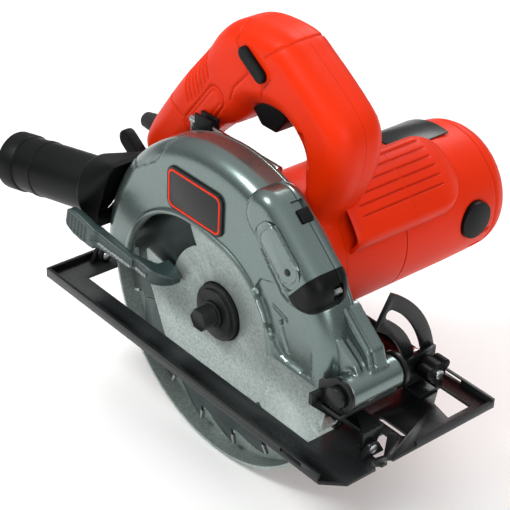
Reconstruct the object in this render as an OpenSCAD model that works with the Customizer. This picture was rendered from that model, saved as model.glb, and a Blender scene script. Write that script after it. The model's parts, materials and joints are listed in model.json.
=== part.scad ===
// Corded circular saw: stamped sole with bevel and depth adjustment, blade
// guards, geared motor, loop handle and a clip-on line laser.
// The origin lies on the sole's plane, in the blade's plane, below the arbor.
// +X is the cutting direction, +Y points from the blade to the motor.

/* [Sole] */
// Length of the sole along the cut
base_l = 278; // [250:1:335]
// Width of the sole across the cut
base_w = 131; // [126:1:158]
// Thickness of the sole's sheet steel
base_t = 2; // [1.5:0.1:3]
// Height of the sole's turned-up edges
base_lip = 6.6; // [5:0.1:9]
// Width of the rail on the free side of the blade
rail_w = 19; // [16:1:20]

/* [Blade] */
// Diameter over the tooth tips
blade_d = 190; // [160:1:230]
// Thickness of the blade's body
blade_t = 1.6; // [1.2:0.1:2.2]
// Number of teeth
blade_teeth = 18; // [12:2:40]
// Bore of the blade, and the spindle's nose with it
blade_bore = 16; // [14:1:20]
// Height of the arbor above the sole at full depth
arbor_z = 29; // [29:1:36]

/* [Guards] */
// Gap from the tooth tips to the lower guard's outer radius
guard_gap = 9; // [7:1:12]
// Wall of the upper guard
guard_wall = 3.5; // [2.5:0.1:4]

/* [Gears] */
// Tooth module of the gear pair
gear_module = 1.2; // [1:0.05:1.2]
// Teeth of the gear on the spindle
gear_teeth = 41; // [35:1:41]
// Teeth of the motor's pinion
pinion_teeth = 16; // [12:1:16]

/* [Motor] */
// Outer diameter of the motor housing
motor_d = 92; // [88:1:110]
// End of the motor housing, measured from the blade's plane
motor_end = 197; // [190:1:236]
// Wall of the plastic housings
shell_wall = 3; // [2:0.1:4]

/* [Handle] */
// Width of the handle across its two halves
handle_w = 40; // [34:1:48]

/* [Dust port] */
// Outer diameter of the dust port
port_d = 37; // [32:1:44]
// Wall of the dust port
port_wall = 2; // [1.5:0.1:3]
// Length of the dust port's tube
port_l = 78; // [60:1:94]

/* [Fits] */
// Radial clearance of shafts in bearings and of pins in holes
run_fit = 0.05; // [0.02:0.01:0.1]
// Gap between moving pieces and their neighbours
move_gap = 0.4; // [0.3:0.1:0.6]

/* [Hidden] */
$fn = 96;
eps = 0.01;

// Blade, guards and arbor
blade_r = blade_d / 2;
lower_r = blade_r + guard_gap;
upper_in = lower_r + 2.5;
upper_r = upper_in + guard_wall;
half_t = blade_t / 2;
flange_r = 18.5;
flange_t = 7.2;
flange_y = -half_t - flange_t;
bolt_head_l = 12;
face_y = -12;
back_y = 11.5;
back_t = 2.5;
wall_y = -5.6;
wall_t = 1.2;
inner_y = 6.6;
inner_t = 1.4;
cone_r = 46;
cone_drop = 2.7;
hub_r = 24;
guard_floor = arbor_z + 4;
arch_r = 63;
arch_x = -18;

// Depth hinge at the guard's front and bevel hinge above the sole
hinge_x = upper_r + 9.5;
hinge_z = arbor_z + 12;
hinge_r = 10;
hinge_pin_r = 4;
boss_y0 = -12;
boss_y1 = 27;
ear_t = 2.5;
bevel_z = 7;
bevel_pin_r = 3;

// Sole
base_x1 = hinge_x + 25.5;
base_x0 = base_x1 - base_l;
base_y0 = -40;
base_y1 = base_y0 + base_w;
slot_x1 = lower_r;
slot_x0 = base_x0 + 19;
slot_y0 = base_y0 + rail_w;
slot_y1 = 26;
wide_x0 = -44;
wide_x1 = 83;
wide_y1 = 64;

// Bevel quadrant: a slotted arc about the bevel hinge
quad_x = hinge_x - 19.5;
quad_t = 2.5;
quad_r0 = 58;
quad_r1 = 82;
quad_slot_r = 69.5;
quad_slot_w = 6.5;
bolt_a = 10;
tilt_max = 45;
slot_sweep = tilt_max + 3;
quad_end_a = bolt_a + tilt_max + 6;

// Motor
gear_cd = gear_module * (gear_teeth + pinion_teeth) / 2;
gear_a = 74.8;
motor_x = gear_cd * cos(gear_a);
motor_z = arbor_z + gear_cd * sin(gear_a);
motor_r = motor_d / 2;
shaft_r = 4;
gear_y0 = 22;
gear_w = 10;
case_y0 = back_y + back_t;
case_y1 = 46;
case_wall = 2;
gear_tip = gear_module * (gear_teeth / 2 + 1);
case_r = gear_tip + 0.7 + case_wall;
split_y = 50;
seam_y = 100;
brush_y = motor_end - 36;

// Handle, drawn about the motor's axis
handle_y0 = split_y - handle_w / 2;
handle_y1 = split_y + handle_w / 2;

// Bearings: outer radii
bearing_r = 15;
front_bearing_r = 13;
rear_bearing_r = 11;
bush_r = 8;
nose_r = blade_bore / 2;
tail_r = 5;
case_hull = 40;

// Dust port
port_yaw = 9;
port_droop = 8;
port_y = -8;

// Laser pod, placed on the guard's shoulder by angle
pod_a = 50;
pod_y0 = -18;
pod_y1 = 11;

orange = "orangered";
silver = "lightslategray";
dark = "#1c1f1f";
steel = "silver";

// ---- Building blocks ----

// Extrudes an outline drawn in X and Z from y0 to y1
module side(y0, y1) translate([0, y1, 0]) rotate([90, 0, 0])
  linear_extrude(y1 - y0) children();

// A round bar along Y through (x, z)
module ycyl(r, y0, y1, x = 0, z = 0) translate([x, y1, z]) rotate([90, 0, 0])
  cylinder(r = r, h = y1 - y0);

// A ring along Y through (x, z)
module yring(r, hole, y0, y1, x = 0, z = 0) difference() {
  ycyl(r, y0, y1, x, z);
  ycyl(hole, y0 - 1, y1 + 1, x, z);
}

// A round bar along X through (y, z)
module xcyl(r, x0, x1, y = 0, z = 0) translate([x0, y, z]) rotate([0, 90, 0])
  cylinder(r = r, h = x1 - x0);

// A block between two corners
module block(a, b) translate(a) cube(b - a);

// Turns a shape about the arbor, and about the motor's axis, seen from the blade side
module at_arbor(a = 0) translate([0, 0, arbor_z]) rotate([0, -a, 0]) children();
module at_motor(a = 0) translate([motor_x, 0, motor_z]) rotate([0, -a, 0]) children();

// Revolves a profile of radius and height about the arbor, height running to -Y
module revolve_arbor(a0 = 0, a1 = 360) translate([0, 0, arbor_z]) rotate([90, 0, 0])
  rotate([0, 0, a0]) rotate_extrude(angle = a1 - a0) children();

// A sector of a disc in the side view, from angle a0 to a1
module sector(r, a0, a1) polygon(concat([[0, 0]],
  [for (i = [0 : 24]) let (a = a0 + (a1 - a0) * i / 24) 2 * r * [cos(a), sin(a)]]));

// An outline with round ends between two points
module pill(a, b, r) hull() {
  translate(a) circle(r, $fn = 32);
  translate(b) circle(r, $fn = 32);
}

function polar(r, a) = r * [cos(a), sin(a)];

// A gear outline with straight-flanked teeth
module gear_2d(n, m, turn) {
  pitch = n * m / 2;
  step = 360 / n;
  rotate(turn) polygon([for (i = [0 : n - 1])
    for (p = [[pitch - 1.25 * m, -0.34], [pitch, -0.235], [pitch + m, -0.12],
              [pitch + m, 0.12], [pitch, 0.235], [pitch - 1.25 * m, 0.34]])
    polar(p[0], (i + p[1]) * step)]);
}

// ---- Sole and bevel adjustment ----

module base_plate() color(dark) difference() {
  union() {
    block([base_x0, base_y0, 0], [base_x1, base_y1, base_t]);
    block([base_x0, base_y0, 0], [base_x1 - 12, base_y0 + base_t, base_lip]);
    block([base_x0, base_y1 - base_t, 0], [base_x1, base_y1, base_lip]);
    block([base_x0, base_y0, 0], [base_x0 + base_t, base_y1, base_lip]);
    block([base_x1 - base_t, 26, 0], [base_x1, base_y1, base_lip * 0.7]);
  }
  block([slot_x0, slot_y0, -1], [slot_x1, slot_y1, base_t + 1]);
  block([wide_x0, slot_y1 - 1, -1], [wide_x1, wide_y1, base_t + 1]);
  // sight windows, the fence's slots and the cut-line notches
  translate([0, 0, -1]) linear_extrude(base_t + 2) {
    polygon([[base_x1 - 21.6, 0], [base_x1 - 21.5, 20], [base_x1 - 18, 20],
      [base_x1 - 6, 5.4], [base_x1 - 7, 0]]);
    polygon([[base_x1 - 23, 63.5], [base_x1 - 34, 79], [base_x1 - 8, 79],
      [base_x1 - 8, 60]]);
    pill([base_x1 - 31, 28], [base_x1 - 13, 28], 1.8);
    translate([base_x1, -4]) circle(2.4);
    translate([base_x1, 5]) circle(2.4);
    // the chamfer at the front corner and the radius at the rear one
    polygon([[base_x1 - 12, base_y0 - 1], [base_x1 + 1, base_y0 - 1],
      [base_x1 + 1, base_y0 + 13]]);
  }
  for (y = [base_y0, base_y1 - base_t])
    block([base_x1 - 44, y - 1, base_t + 0.6], [base_x1 - 26, y + base_t + 1, base_lip - 1]);
}

// The slotted arc and its foot
module bevel_quadrant() color(dark) {
  translate([quad_x, 0, bevel_z]) rotate([90, 0, 90]) linear_extrude(quad_t) difference() {
    intersection() {
      circle(quad_r1);
      sector(quad_r1, -3.5, quad_end_a);
      translate([0, base_t - bevel_z]) square([quad_r1, quad_r1]);
    }
    circle(quad_r0);
    for (i = [0 : 10]) let (a = bolt_a - 2 + i * slot_sweep / 11)
      hull() for (b = [a, a + slot_sweep / 11])
        translate(polar(quad_slot_r, b)) circle(quad_slot_w / 2, $fn = 24);
  }
  block([quad_x, quad_r0 + 1, base_t], [quad_x + 14, quad_r1 - 4, base_t + 2.5]);
}

// Ears that stand up from the sole at both ends and carry the bevel hinge
ear_front = base_x1 - 12;
ear_rear = base_x0 + 4;
module base_hinge_ears() color(dark) for (x = [ear_front, ear_rear]) difference() {
  hull() {
    block([x, -8, base_t], [x + 3, 8, base_t + 1]);
    xcyl(5, x, x + 3, 0, bevel_z);
  }
  xcyl(bevel_pin_r, x - 1, x + 4, 0, bevel_z);
}

tilt_ear_front = ear_front - 4;
tilt_ear_rear = ear_rear + 4.5;
module bevel_hinge_pins() color(steel) {
  xcyl(bevel_pin_r - 0.01, tilt_ear_front - 2, ear_front + 3, 0, bevel_z);
  xcyl(bevel_pin_r - 0.01, ear_rear, tilt_ear_rear + 4.5, 0, bevel_z);
}

// Front bracket: a plate beside the quadrant, a web and two ears for the depth hinge
plate_x = quad_x + quad_t + move_gap;
plate_t = 3;
ear_y0 = boss_y0 - move_gap - ear_t;
ear_y1 = boss_y1 + move_gap;
module tilt_bracket() color(dark) difference() {
  union() {
    // cheek plate that rides on the quadrant
    translate([plate_x, 0, bevel_z]) rotate([90, 0, 90]) linear_extrude(plate_t) difference() {
      polygon([[-ear_t, 3.5], [-22, 22.5], [-22, 30], [face_y - 1, 30], [face_y - 1, 24],
        [16, 24], [16, 30], [30, 30], [48, 20], [78, 22], [78, 3], [16, 3], [8, -3],
        [-2, -4]]);
      circle(bevel_pin_r + run_fit);
    }
    // ears beside the hinge boss, tied by a lower web
    for (y = [ear_y0, ear_y1]) side(y, y + ear_t) hull() {
      translate([hinge_x, hinge_z]) circle(11);
      translate([plate_x, bevel_z + 21 + (y > 0 ? -4 : 3)]) square([plate_t, 12]);
    }
    block([plate_x, ear_y0, bevel_z + 18], [hinge_x + 2, ear_y1 + ear_t, bevel_z + 21]);
    // front tongue down to the bevel hinge
    hull() {
      xcyl(5, tilt_ear_front, tilt_ear_front + 3.5, 0, bevel_z);
      block([tilt_ear_front, -6, bevel_z + 10], [tilt_ear_front + 3.5, 10, bevel_z + 11]);
    }
    block([plate_x, -4, bevel_z + 7.5], [tilt_ear_front + 3.5, 10, bevel_z + 11]);
  }
  ycyl(hinge_pin_r, ear_y0 - 1, ear_y1 + ear_t + 1, hinge_x, hinge_z);
  xcyl(bevel_pin_r + run_fit, tilt_ear_front - 1, tilt_ear_front + 5, 0, bevel_z);
  translate([0, 0, bevel_z]) rotate([bolt_a, 0, 0])
    xcyl(3.2, plate_x - 1, plate_x + plate_t + 1, quad_slot_r, 0);
}

module depth_pivot_pin() color(steel) {
  ycyl(hinge_pin_r - 0.01, ear_y0 - 2, ear_y1 + ear_t, hinge_x, hinge_z);
  ycyl(7, ear_y0 - 4, ear_y0, hinge_x, hinge_z);
  ycyl(6.5, ear_y1 + ear_t, ear_y1 + ear_t + 3, hinge_x, hinge_z);
}

// Rear bracket on the bevel hinge, and the slotted arm that sets the depth
arm_y = 19.2;
arm_t = 2.6;
arm_r = hinge_x + 55.5;
clamp_a = 184;
depth_swing = 28;
arm_a0 = clamp_a + 4;
arm_a1 = clamp_a - depth_swing - 2.5;
clamp_x = hinge_x + arm_r * cos(clamp_a);
clamp_z = hinge_z + arm_r * sin(clamp_a);
clamp_r = 2.5;
slot_half = clamp_r + 0.3;
module rear_bracket() color(dark) {
  difference() {
    union() {
      hull() {
        xcyl(5, tilt_ear_rear, tilt_ear_rear + 3, 0, bevel_z);
        block([tilt_ear_rear, -2, bevel_z + 8], [tilt_ear_rear + 3, 12, bevel_z + 9]);
      }
      block([tilt_ear_rear, -2, bevel_z + 7], [tilt_ear_rear + 3, arm_y, bevel_z + 14.5]);
      block([tilt_ear_rear, arm_y - 3, bevel_z + 7],
        [hinge_x - arm_r + 6, arm_y, bevel_z + 14.5]);
    }
    xcyl(bevel_pin_r + run_fit, tilt_ear_rear - 1, tilt_ear_rear + 4, 0, bevel_z);
  }
}

module depth_arm() color(steel) side(arm_y, arm_y + arm_t)
  translate([hinge_x, hinge_z]) difference() {
    intersection() {
      circle(arm_r + 7, $fn = 200);
      sector(arm_r + 8, arm_a1, arm_a0);
    }
    circle(arm_r - 7, $fn = 200);
    difference() {
      intersection() {
        circle(arm_r + slot_half, $fn = 200);
        sector(arm_r + 8, clamp_a - depth_swing - 1, clamp_a + 1);
      }
      circle(arm_r - slot_half, $fn = 200);
    }
  }

// The clamping bolt through the quadrant's slot, and the knob that tightens it
module bevel_bolt() color(steel) translate([0, 0, bevel_z]) rotate([bolt_a, 0, 0]) {
  xcyl(3, quad_x - 0.8, plate_x + plate_t + 14, quad_slot_r, 0);
  xcyl(6.5, quad_x - 4, quad_x - move_gap, quad_slot_r, 0);
}

module bevel_lock_knob() color(dark) translate([0, 0, bevel_z]) rotate([bolt_a, 0, 0])
  translate([plate_x + plate_t + move_gap, quad_slot_r, 0]) rotate([0, 90, 0])
  difference() {
    union() {
      cylinder(r = 7, h = 12);
      for (a = [0, 120, 240]) rotate(a) translate([7.4, 0, 3]) cylinder(r = 3.4, h = 10);
    }
    translate([0, 0, -1]) cylinder(r = 3 + run_fit, h = 15);
  }

// ---- Guards ----

// Radial profile of the upper guard: rim, rounded shoulder and face
shoulder = 13;
module guard_profile() {
  c = [upper_r - shoulder, -face_y - shoulder];
  polygon(concat(
    [[upper_r, -back_y]],
    [for (i = [0 : 8]) c + polar(shoulder, i * 11.25)],
    [[40, -face_y], [40, -face_y - guard_wall]],
    [for (i = [8 : -1 : 0]) c + polar(shoulder - guard_wall, i * 11.25)],
    [[upper_in, -back_y]]));
}

// The arch that leaves the flange and the lower guard's wall open
module arch_2d() hull() {
  translate([arch_x, arbor_z - 6]) circle(arch_r);
  translate([2, arbor_z]) circle(arch_r - 9);
}

// Arm between the guard's front and the boss of the depth hinge
module guard_arm() difference() {
  side(-2, 18) hull() {
    translate([hinge_x, hinge_z]) circle(hinge_r - 2, $fn = 32);
    translate([hinge_x - 4, hinge_z + 18]) circle(5, $fn = 32);
    translate(lens_at() + [-1.9, -8.6]) circle(5, $fn = 32);
    translate([hinge_x - 16, hinge_z - 4]) circle(3, $fn = 32);
  }
  ycyl(upper_r - 1.5, -3, back_y, 0, arbor_z);
  ycyl(upper_r + 0.05, back_y, 19, 0, arbor_z);
}

module upper_guard() color(silver) difference() {
  union() {
    intersection() {
      revolve_arbor() guard_profile();
      block([-upper_r - 1, face_y - 1, guard_floor], [upper_r + 1, back_y, arbor_z + upper_r + 1]);
    }
    guard_arm();
    ycyl(hinge_r, boss_y0, boss_y1, hinge_x, hinge_z);
  }
  side(face_y - 1, face_y + guard_wall + 1) arch_2d();
  ycyl(hinge_pin_r + run_fit, boss_y0 - 1, boss_y1 + 1, hinge_x, hinge_z);
  at_port() translate([0, 0, -30]) cylinder(r = 11, h = 40);
}

// Cast back wall that carries the spindle's front bearing and the depth clamp's stud
module guard_back_plate() color(silver) difference() {
  union() {
    intersection() {
      ycyl(upper_r, back_y, back_y + back_t, 0, arbor_z);
      union() {
        block([-upper_r - 1, back_y - 1, guard_floor],
          [upper_r + 1, back_y + back_t + 1, arbor_z + upper_r + 1]);
        ycyl(case_r, back_y, back_y + back_t, 0, arbor_z);
      }
    }
    ycyl(hub_r, 5.8, back_y + 1, 0, arbor_z);
    ycyl(hub_r - 3, back_y, 17, 0, arbor_z);
    side(back_y, back_y + back_t) hull() {
      translate([clamp_x, clamp_z]) circle(9);
      translate([clamp_x + 6, guard_floor + 20]) circle(12);
    }
    ycyl(clamp_r, back_y + 1, arm_y + 14, clamp_x, clamp_z);
    ycyl(6, back_y + 1, arm_y - move_gap, clamp_x, clamp_z);
  }
  ycyl(bearing_r, 7, 18, 0, arbor_z);
  ycyl(bearing_r - 2.5, 5, 8, 0, arbor_z);
}

module guard_screws() color(steel) for (a = [28, 72, 108, 142]) at_arbor(a)
  translate([upper_in - 7, 0, 0]) {
    ycyl(3.4, back_y + back_t, back_y + back_t + 2.2);
  }

// Lower guard: inner wall, rim, and the textured outer wall that opens round the flange
lower_a0 = -196;
lower_a1 = -16;
chamfer = 4;
module lower_wall_2d() difference() {
  union() {
    circle(60);
    intersection() {
      circle(lower_r - 2.4);
      sector(lower_r, -44, 10);
    }
    polygon([[-40, 26], [-60, 30], [-70, 10], [-66, -12], [-50, -44], [-20, -54]]);
  }
  intersection() {
    sector(lower_r, 118, 170);
    difference() {
      circle(lower_r);
      circle(43);
    }
  }
}

module lower_guard() color("darkgray") {
  // rim, a little proud of the outer wall, and inner wall
  rim_y = wall_y - 0.2;
  revolve_arbor(lower_a0, lower_a1) polygon([[lower_r, -inner_y - inner_t],
    [lower_r, -rim_y - chamfer], [lower_r - 1.4, -rim_y], [lower_r - 3.2, -rim_y],
    [lower_r - 2.6, -rim_y - chamfer], [lower_r - 2.6, -inner_y],
    [hub_r + 4, -inner_y], [hub_r + 4, -inner_y - inner_t]]);
  // hub that turns on the back wall's boss
  difference() {
    ycyl(hub_r + 10, inner_y, inner_y + inner_t + 0.3, 0, arbor_z);
    ycyl(hub_r + run_fit, inner_y - 1, inner_y + 4, 0, arbor_z);
  }
  yring(hub_r + 3, hub_r + run_fit, inner_y, back_y - move_gap, 0, arbor_z);
  // outer wall with its shallow cone
  intersection() {
    revolve_arbor() polygon([[flange_r + 1, -wall_y - cone_drop], [cone_r, -wall_y],
      [lower_r - 1.4, -wall_y], [lower_r - 1.4, -wall_y - wall_t],
      [cone_r, -wall_y - wall_t], [flange_r + 1, -wall_y - cone_drop - wall_t]]);
    translate([0, 0, arbor_z]) rotate([90, 0, 0]) translate([0, 0, -20])
      linear_extrude(40) lower_wall_2d();
  }
  // turned-out lip at the front edge
  at_arbor(lower_a1) block([blade_r + 2, wall_y - 3, -3], [lower_r - 0.4, inner_y + 0.6, -0.5]);
}

// Retracting lever on the lower guard's wall
lever_y = min(pod_y0 - 3.4, port_y - port_d / 2 + 5.1);
module guard_lever() color("darkslategray") at_arbor(168) {
  block([34, wall_y - 10, -8], [49, wall_y, 8]);
  hull() {
    block([34, lever_y - 1, -8], [50, wall_y - 9, 8]);
    block([lower_r - 42, lever_y - 3, -6], [lower_r - 40, lever_y, 6]);
  }
  hull() {
    block([lower_r - 44, lever_y - 5, -6], [lower_r - 40, lever_y, 6]);
    block([lower_r - 12, lever_y - 11, -7], [lower_r - 10, lever_y - 4, 7]);
  }
  hull() {
    block([lower_r - 14, lever_y - 12, -8], [lower_r - 12, lever_y - 6, 10]);
    block([lower_r + 12, lever_y - 14, -8], [lower_r + 15, lever_y - 8, 10]);
  }
}

module guard_spring() color(steel) yring(hub_r + 7, hub_r + 4, inner_y + inner_t + 0.5,
  back_y - 0.5, 0, arbor_z);

// ---- Dust outlet ----

port_from = polar(upper_r + 12.4, 162.9);
module at_port() translate([port_from[0], port_y, arbor_z + port_from[1]])
  rotate([0, -(90 + port_droop), port_yaw]) children();

module dust_port() color(dark) at_port() difference() {
  union() {
    cylinder(r = port_d / 2, h = port_l);
    translate([0, 0, port_l - 14]) cylinder(r = port_d / 2 + 1, h = 12);
  }
  translate([0, 0, -1]) cylinder(r = port_d / 2 - port_wall, h = port_l + 2);
}

module dust_hood() color(dark) difference() {
  hull() {
    at_port() translate([0, 0, -2]) cylinder(r = port_d / 2 + 3, h = 2 - eps, $fn = 32);
    side(face_y - 4, back_y + 3) intersection() {
      translate([0, arbor_z]) difference() {
        circle(upper_r + 4);
        circle(upper_r + 0.1);
      }
      translate([-upper_r - 10, guard_floor + 6]) square([30, 54]);
    }
  }
  hull() {
    at_port() translate([0, 0, -1]) cylinder(r = port_d / 2 - port_wall, h = 2, $fn = 32);
    translate([-upper_r + 2, face_y + 2, guard_floor + 14]) cube([4, 20, 36]);
  }
  ycyl(upper_r + 0.1, face_y - 5, back_y + 4, 0, arbor_z);
  at_port() cylinder(r = port_d / 2 + 0.01, h = 20);
}

badge_a = 100.6;
module badge_plate() color("black") at_arbor(badge_a) translate([upper_r - 34.2, 0, 0])
  rotate([0, badge_a - 90, 0]) side(face_y - 1.6, face_y) offset(5) square([19, 42], center = true);

// ---- Gear case and orange housings ----

module case_2d(grow) hull() {
  translate([0, arbor_z]) circle(case_r + grow);
  translate([motor_x, motor_z]) circle(case_hull + grow);
}

lock_a = 205;
module gear_case() color("gray") difference() {
  union() {
    difference() {
      side(case_y0, case_y1) case_2d(0);
      side(case_y0 + case_wall, case_y1 - case_wall) case_2d(-case_wall);
    }
    ycyl(front_bearing_r + 3, case_y1 - 9, case_y1, motor_x, motor_z);
    ycyl(bush_r + 3, case_y1 - 8, case_y1, 0, arbor_z);
    at_arbor(lock_a) xcyl(6, case_r - 1.5, case_r + 5, 27, 0);
  }
  ycyl(hub_r - 3, case_y0 - 1, 17, 0, arbor_z);
  ycyl(front_bearing_r, case_y1 - 8, case_y1 + 1, motor_x, motor_z);
  ycyl(6, case_y1 - 10, case_y1, motor_x, motor_z);
  ycyl(bush_r, case_y1 - 7, case_y1 + 1, 0, arbor_z);
  ycyl(tail_r + 0.5, case_y1 - 10, case_y1, 0, arbor_z);
  at_arbor(lock_a) xcyl(2.5 + run_fit, case_r - 4, case_r + 6, 27, 0);
}

// Outline of the loop handle and the web below it, about the motor's axis
module handle_2d() difference() {
  offset(r = 8, $fn = 24) offset(delta = -8) polygon([[-135, 19], [-132, 32],
    [-118, 54], [-98, 81], [-74, 106], [-65, 121], [-52, 133], [-35, 139], [-8, 140],
    [10, 129], [32, 115], [46, 105], [51, 96], [54, 78], [54, 40], [46, 10], [20, -30],
    [-20, -34], [-44, -18], [-70, -8], [-100, -3], [-126, 4]]);
  offset(r = 5, $fn = 24) offset(delta = -5) polygon([[-92, 21], [-90, 32], [-62, 58],
    [-50, 64], [-40, 74], [-32, 85], [-20, 91], [-3, 91], [9, 85], [14, 76], [17, 64],
    [17, 44], [0, 43], [-30, 29], [-42, 17], [-60, 17]]);
}

module motor_tube(y0, y1, grow = 0) ycyl(motor_r + grow, y0, y1, motor_x, motor_z);

// The ribbed forward grip over the motor
grip_r = motor_r + 14;
grip_y1 = seam_y + 52;
module grip_2d(grow = 0) difference() {
  intersection() {
    circle(grip_r + grow);
    sector(grip_r, 4 - grow, 76 + grow);
  }
  circle(motor_r - 1);
}
module grip(y0, y1) translate([motor_x, 0, motor_z]) difference() {
  side(y0, y1) grip_2d();
  side(y0 - 1, y1 - (y1 > seam_y ? 6 : -1)) difference() {
    grip_2d(-shell_wall);
    circle(motor_r + 0.01);
  }
}

trigger_at = [motor_x - 24, motor_z + 82];
lock_off_at = [motor_x - 24, motor_z + 118];
lock_off_l = 17;
lock_off_r = 4.5;
lock_off_tilt = -32;

module lock_off_2d(grow) translate(lock_off_at) rotate(lock_off_tilt)
  pill([-lock_off_l / 2, 0], [lock_off_l / 2, 0], lock_off_r + grow);

module at_gland() translate([motor_x - 133, split_y, motor_z + 24])
  rotate([0, -96, 0]) children();
gland_r = 6.5;

// One half of the clamshell: its outside, less its hollow and what passes through it
module handle_half(y0, y1, in0, in1, tube0, tube1) difference() {
  union() {
    translate([motor_x, 0, motor_z]) side(y0, y1) handle_2d();
    motor_tube(tube0, tube1);
    if (y1 > split_y) grip(split_y, seam_y);
  }
  translate([motor_x, 0, motor_z]) side(in0, in1) offset(delta = -shell_wall) handle_2d();
  motor_tube(tube0 - 1, tube1 + 1, -shell_wall);
  side(case_y0, case_y1 + 0.5) case_2d(0.3);
  at_arbor(lock_a) xcyl(6.4, case_r - 2, case_r + 30, 27, 0);
  side(y0 - 1, y1 + 1) lock_off_2d(move_gap);
  block([trigger_at[0] - 20, split_y - 9.5, trigger_at[1] - 4],
    [trigger_at[0] + 24, split_y + 9.5, trigger_at[1] + 14]);
  at_gland() translate([0, 0, -20]) cylinder(r = gland_r + 0.05, h = 40);
}

module handle_shell_left() color(orange)
  handle_half(handle_y0, split_y, handle_y0 + shell_wall, split_y + 1, 18, split_y);

module handle_shell_right() color(orange)
  handle_half(split_y, handle_y1, split_y - 1, handle_y1 - shell_wall, split_y, seam_y);

module motor_end_housing() color(orange) difference() {
  union() {
    difference() {
      motor_tube(seam_y, motor_end);
      motor_tube(seam_y - 1, motor_end - shell_wall, -shell_wall);
    }
    intersection() {
      motor_tube(motor_end - 20, motor_end - 11);
      motor_tube(motor_end - 30, motor_end, -1);
    }
    grip(seam_y, grip_y1);
  }
  ycyl(rear_bearing_r, motor_end - 21, motor_end - 12, motor_x, motor_z);
  ycyl(shaft_r + 2, motor_end - 22, motor_end - 10, motor_x, motor_z);
  for (s = [-1, 1]) translate([motor_x, 0, 0])
    xcyl(cap_r + 0.05, min(s * 20, s * 60), max(s * 20, s * 60), brush_y, motor_z);
  // cooling slots round the end
  for (i = [0 : 7]) at_motor(112.5 + i * 18)
    block([motor_r - 6, motor_end - 9, -2], [motor_r + 1, motor_end - 5, 2]);
}

plate_y = [seam_y + 22, motor_end - 30];
module rating_plate() color("black") intersection() {
  yring(motor_r + 0.8, motor_r + 0.02, plate_y[0], plate_y[1], motor_x, motor_z);
  translate([motor_x, 0, motor_z]) side(plate_y[0] - 1, plate_y[1] + 1)
    sector(motor_r, 78, 126);
}

// ---- Motor ----

stator_y0 = 70;
stator_y1 = 122;
module stator() color("dimgray") yring(motor_r - shell_wall - 0.3, 26, stator_y0, stator_y1,
  motor_x, motor_z);

module field_coils() color("peru") for (y = [stator_y0 - 7, stator_y1])
  yring(39, 28, y, y + 7, motor_x, motor_z);

module front_bearing() color(steel) yring(front_bearing_r, shaft_r + run_fit, case_y1 - 8,
  case_y1, motor_x, motor_z);

module rear_bearing() color(steel) yring(rear_bearing_r, shaft_r + run_fit, motor_end - 20,
  motor_end - 12, motor_x, motor_z);

module spindle_bearing() color(steel) yring(bearing_r, nose_r + run_fit, 8, 17, 0, arbor_z);

module spindle_bush() color("goldenrod") yring(bush_r, tail_r + run_fit, case_y1 - 7,
  case_y1 - 0.5, 0, arbor_z);

cap_r = 12.5;
brush_w = [6, 9];
module brush_side(s) translate([motor_x, brush_y, motor_z]) rotate([0, s > 0 ? 0 : 180, 0])
  children();

module brush_holders() color("goldenrod") for (s = [-1, 1]) brush_side(s) difference() {
  block([commutator_r + 2, -7, -6], [motor_r - shell_wall - 1, 7, 6]);
  block([0, -brush_w[1] / 2, -brush_w[0] / 2], [motor_r, brush_w[1] / 2, brush_w[0] / 2]);
}

module carbon_brushes() color("dimgray") for (s = [-1, 1]) brush_side(s)
  block([commutator_r + 0.1, -brush_w[1] / 2 + 0.1, -brush_w[0] / 2 + 0.1],
    [commutator_r + 20, brush_w[1] / 2 - 0.1, brush_w[0] / 2 - 0.1]);

module brush_caps() color(dark) for (s = [-1, 1]) brush_side(s)
  xcyl(cap_r, motor_r - shell_wall - 0.5, motor_r + 1.5);

commutator_r = 13;
module armature_shaft() color(steel) {
  ycyl(shaft_r, gear_y0 - 3, motor_end - 10, motor_x, motor_z);
  translate([motor_x, 0, motor_z]) side(gear_y0 - 1, gear_y0 + gear_w + 1)
    gear_2d(pinion_teeth, gear_module, gear_a + 180 + 180 / pinion_teeth);
}

module armature_core() color("dimgray") difference() {
  ycyl(24.5, stator_y0 + 2, stator_y1 - 2, motor_x, motor_z);
  ycyl(shaft_r, stator_y0, stator_y1, motor_x, motor_z);
  for (i = [0 : 11]) at_motor(i * 30)
    block([19, stator_y0, -0.8], [26, stator_y1, 0.8]);
}

module commutator() color("peru") yring(commutator_r, shaft_r, brush_y - 9, brush_y + 9,
  motor_x, motor_z);

module cooling_fan() color(dark) {
  yring(12, shaft_r, case_y1 + 5, case_y1 + 15, motor_x, motor_z);
  yring(36, 11, case_y1 + 13, case_y1 + 15, motor_x, motor_z);
  for (i = [0 : 10]) at_motor(i * 360 / 11)
    block([11.5, case_y1 + 5, -0.7], [36, case_y1 + 14, 0.7]);
}

// ---- Spindle ----

module output_spindle() color(steel) difference() {
  union() {
    ycyl(nose_r, -half_t - 0.6, gear_y0 - 2, 0, arbor_z);
    ycyl(7, gear_y0 - 3, gear_y0 + gear_w, 0, arbor_z);
    ycyl(tail_r, gear_y0 + gear_w - 1, case_y1 - 1, 0, arbor_z);
  }
  ycyl(4, -half_t - 1, 16, 0, arbor_z);
}

module output_gear() color("gray") difference() {
  translate([0, 0, arbor_z]) side(gear_y0, gear_y0 + gear_w)
    gear_2d(gear_teeth, gear_module, gear_a);
  ycyl(7, gear_y0 - 1, gear_y0 + gear_w + 1, 0, arbor_z);
}

module inner_flange() color(steel) yring(18, nose_r, half_t, 5, 0, arbor_z);

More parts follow.
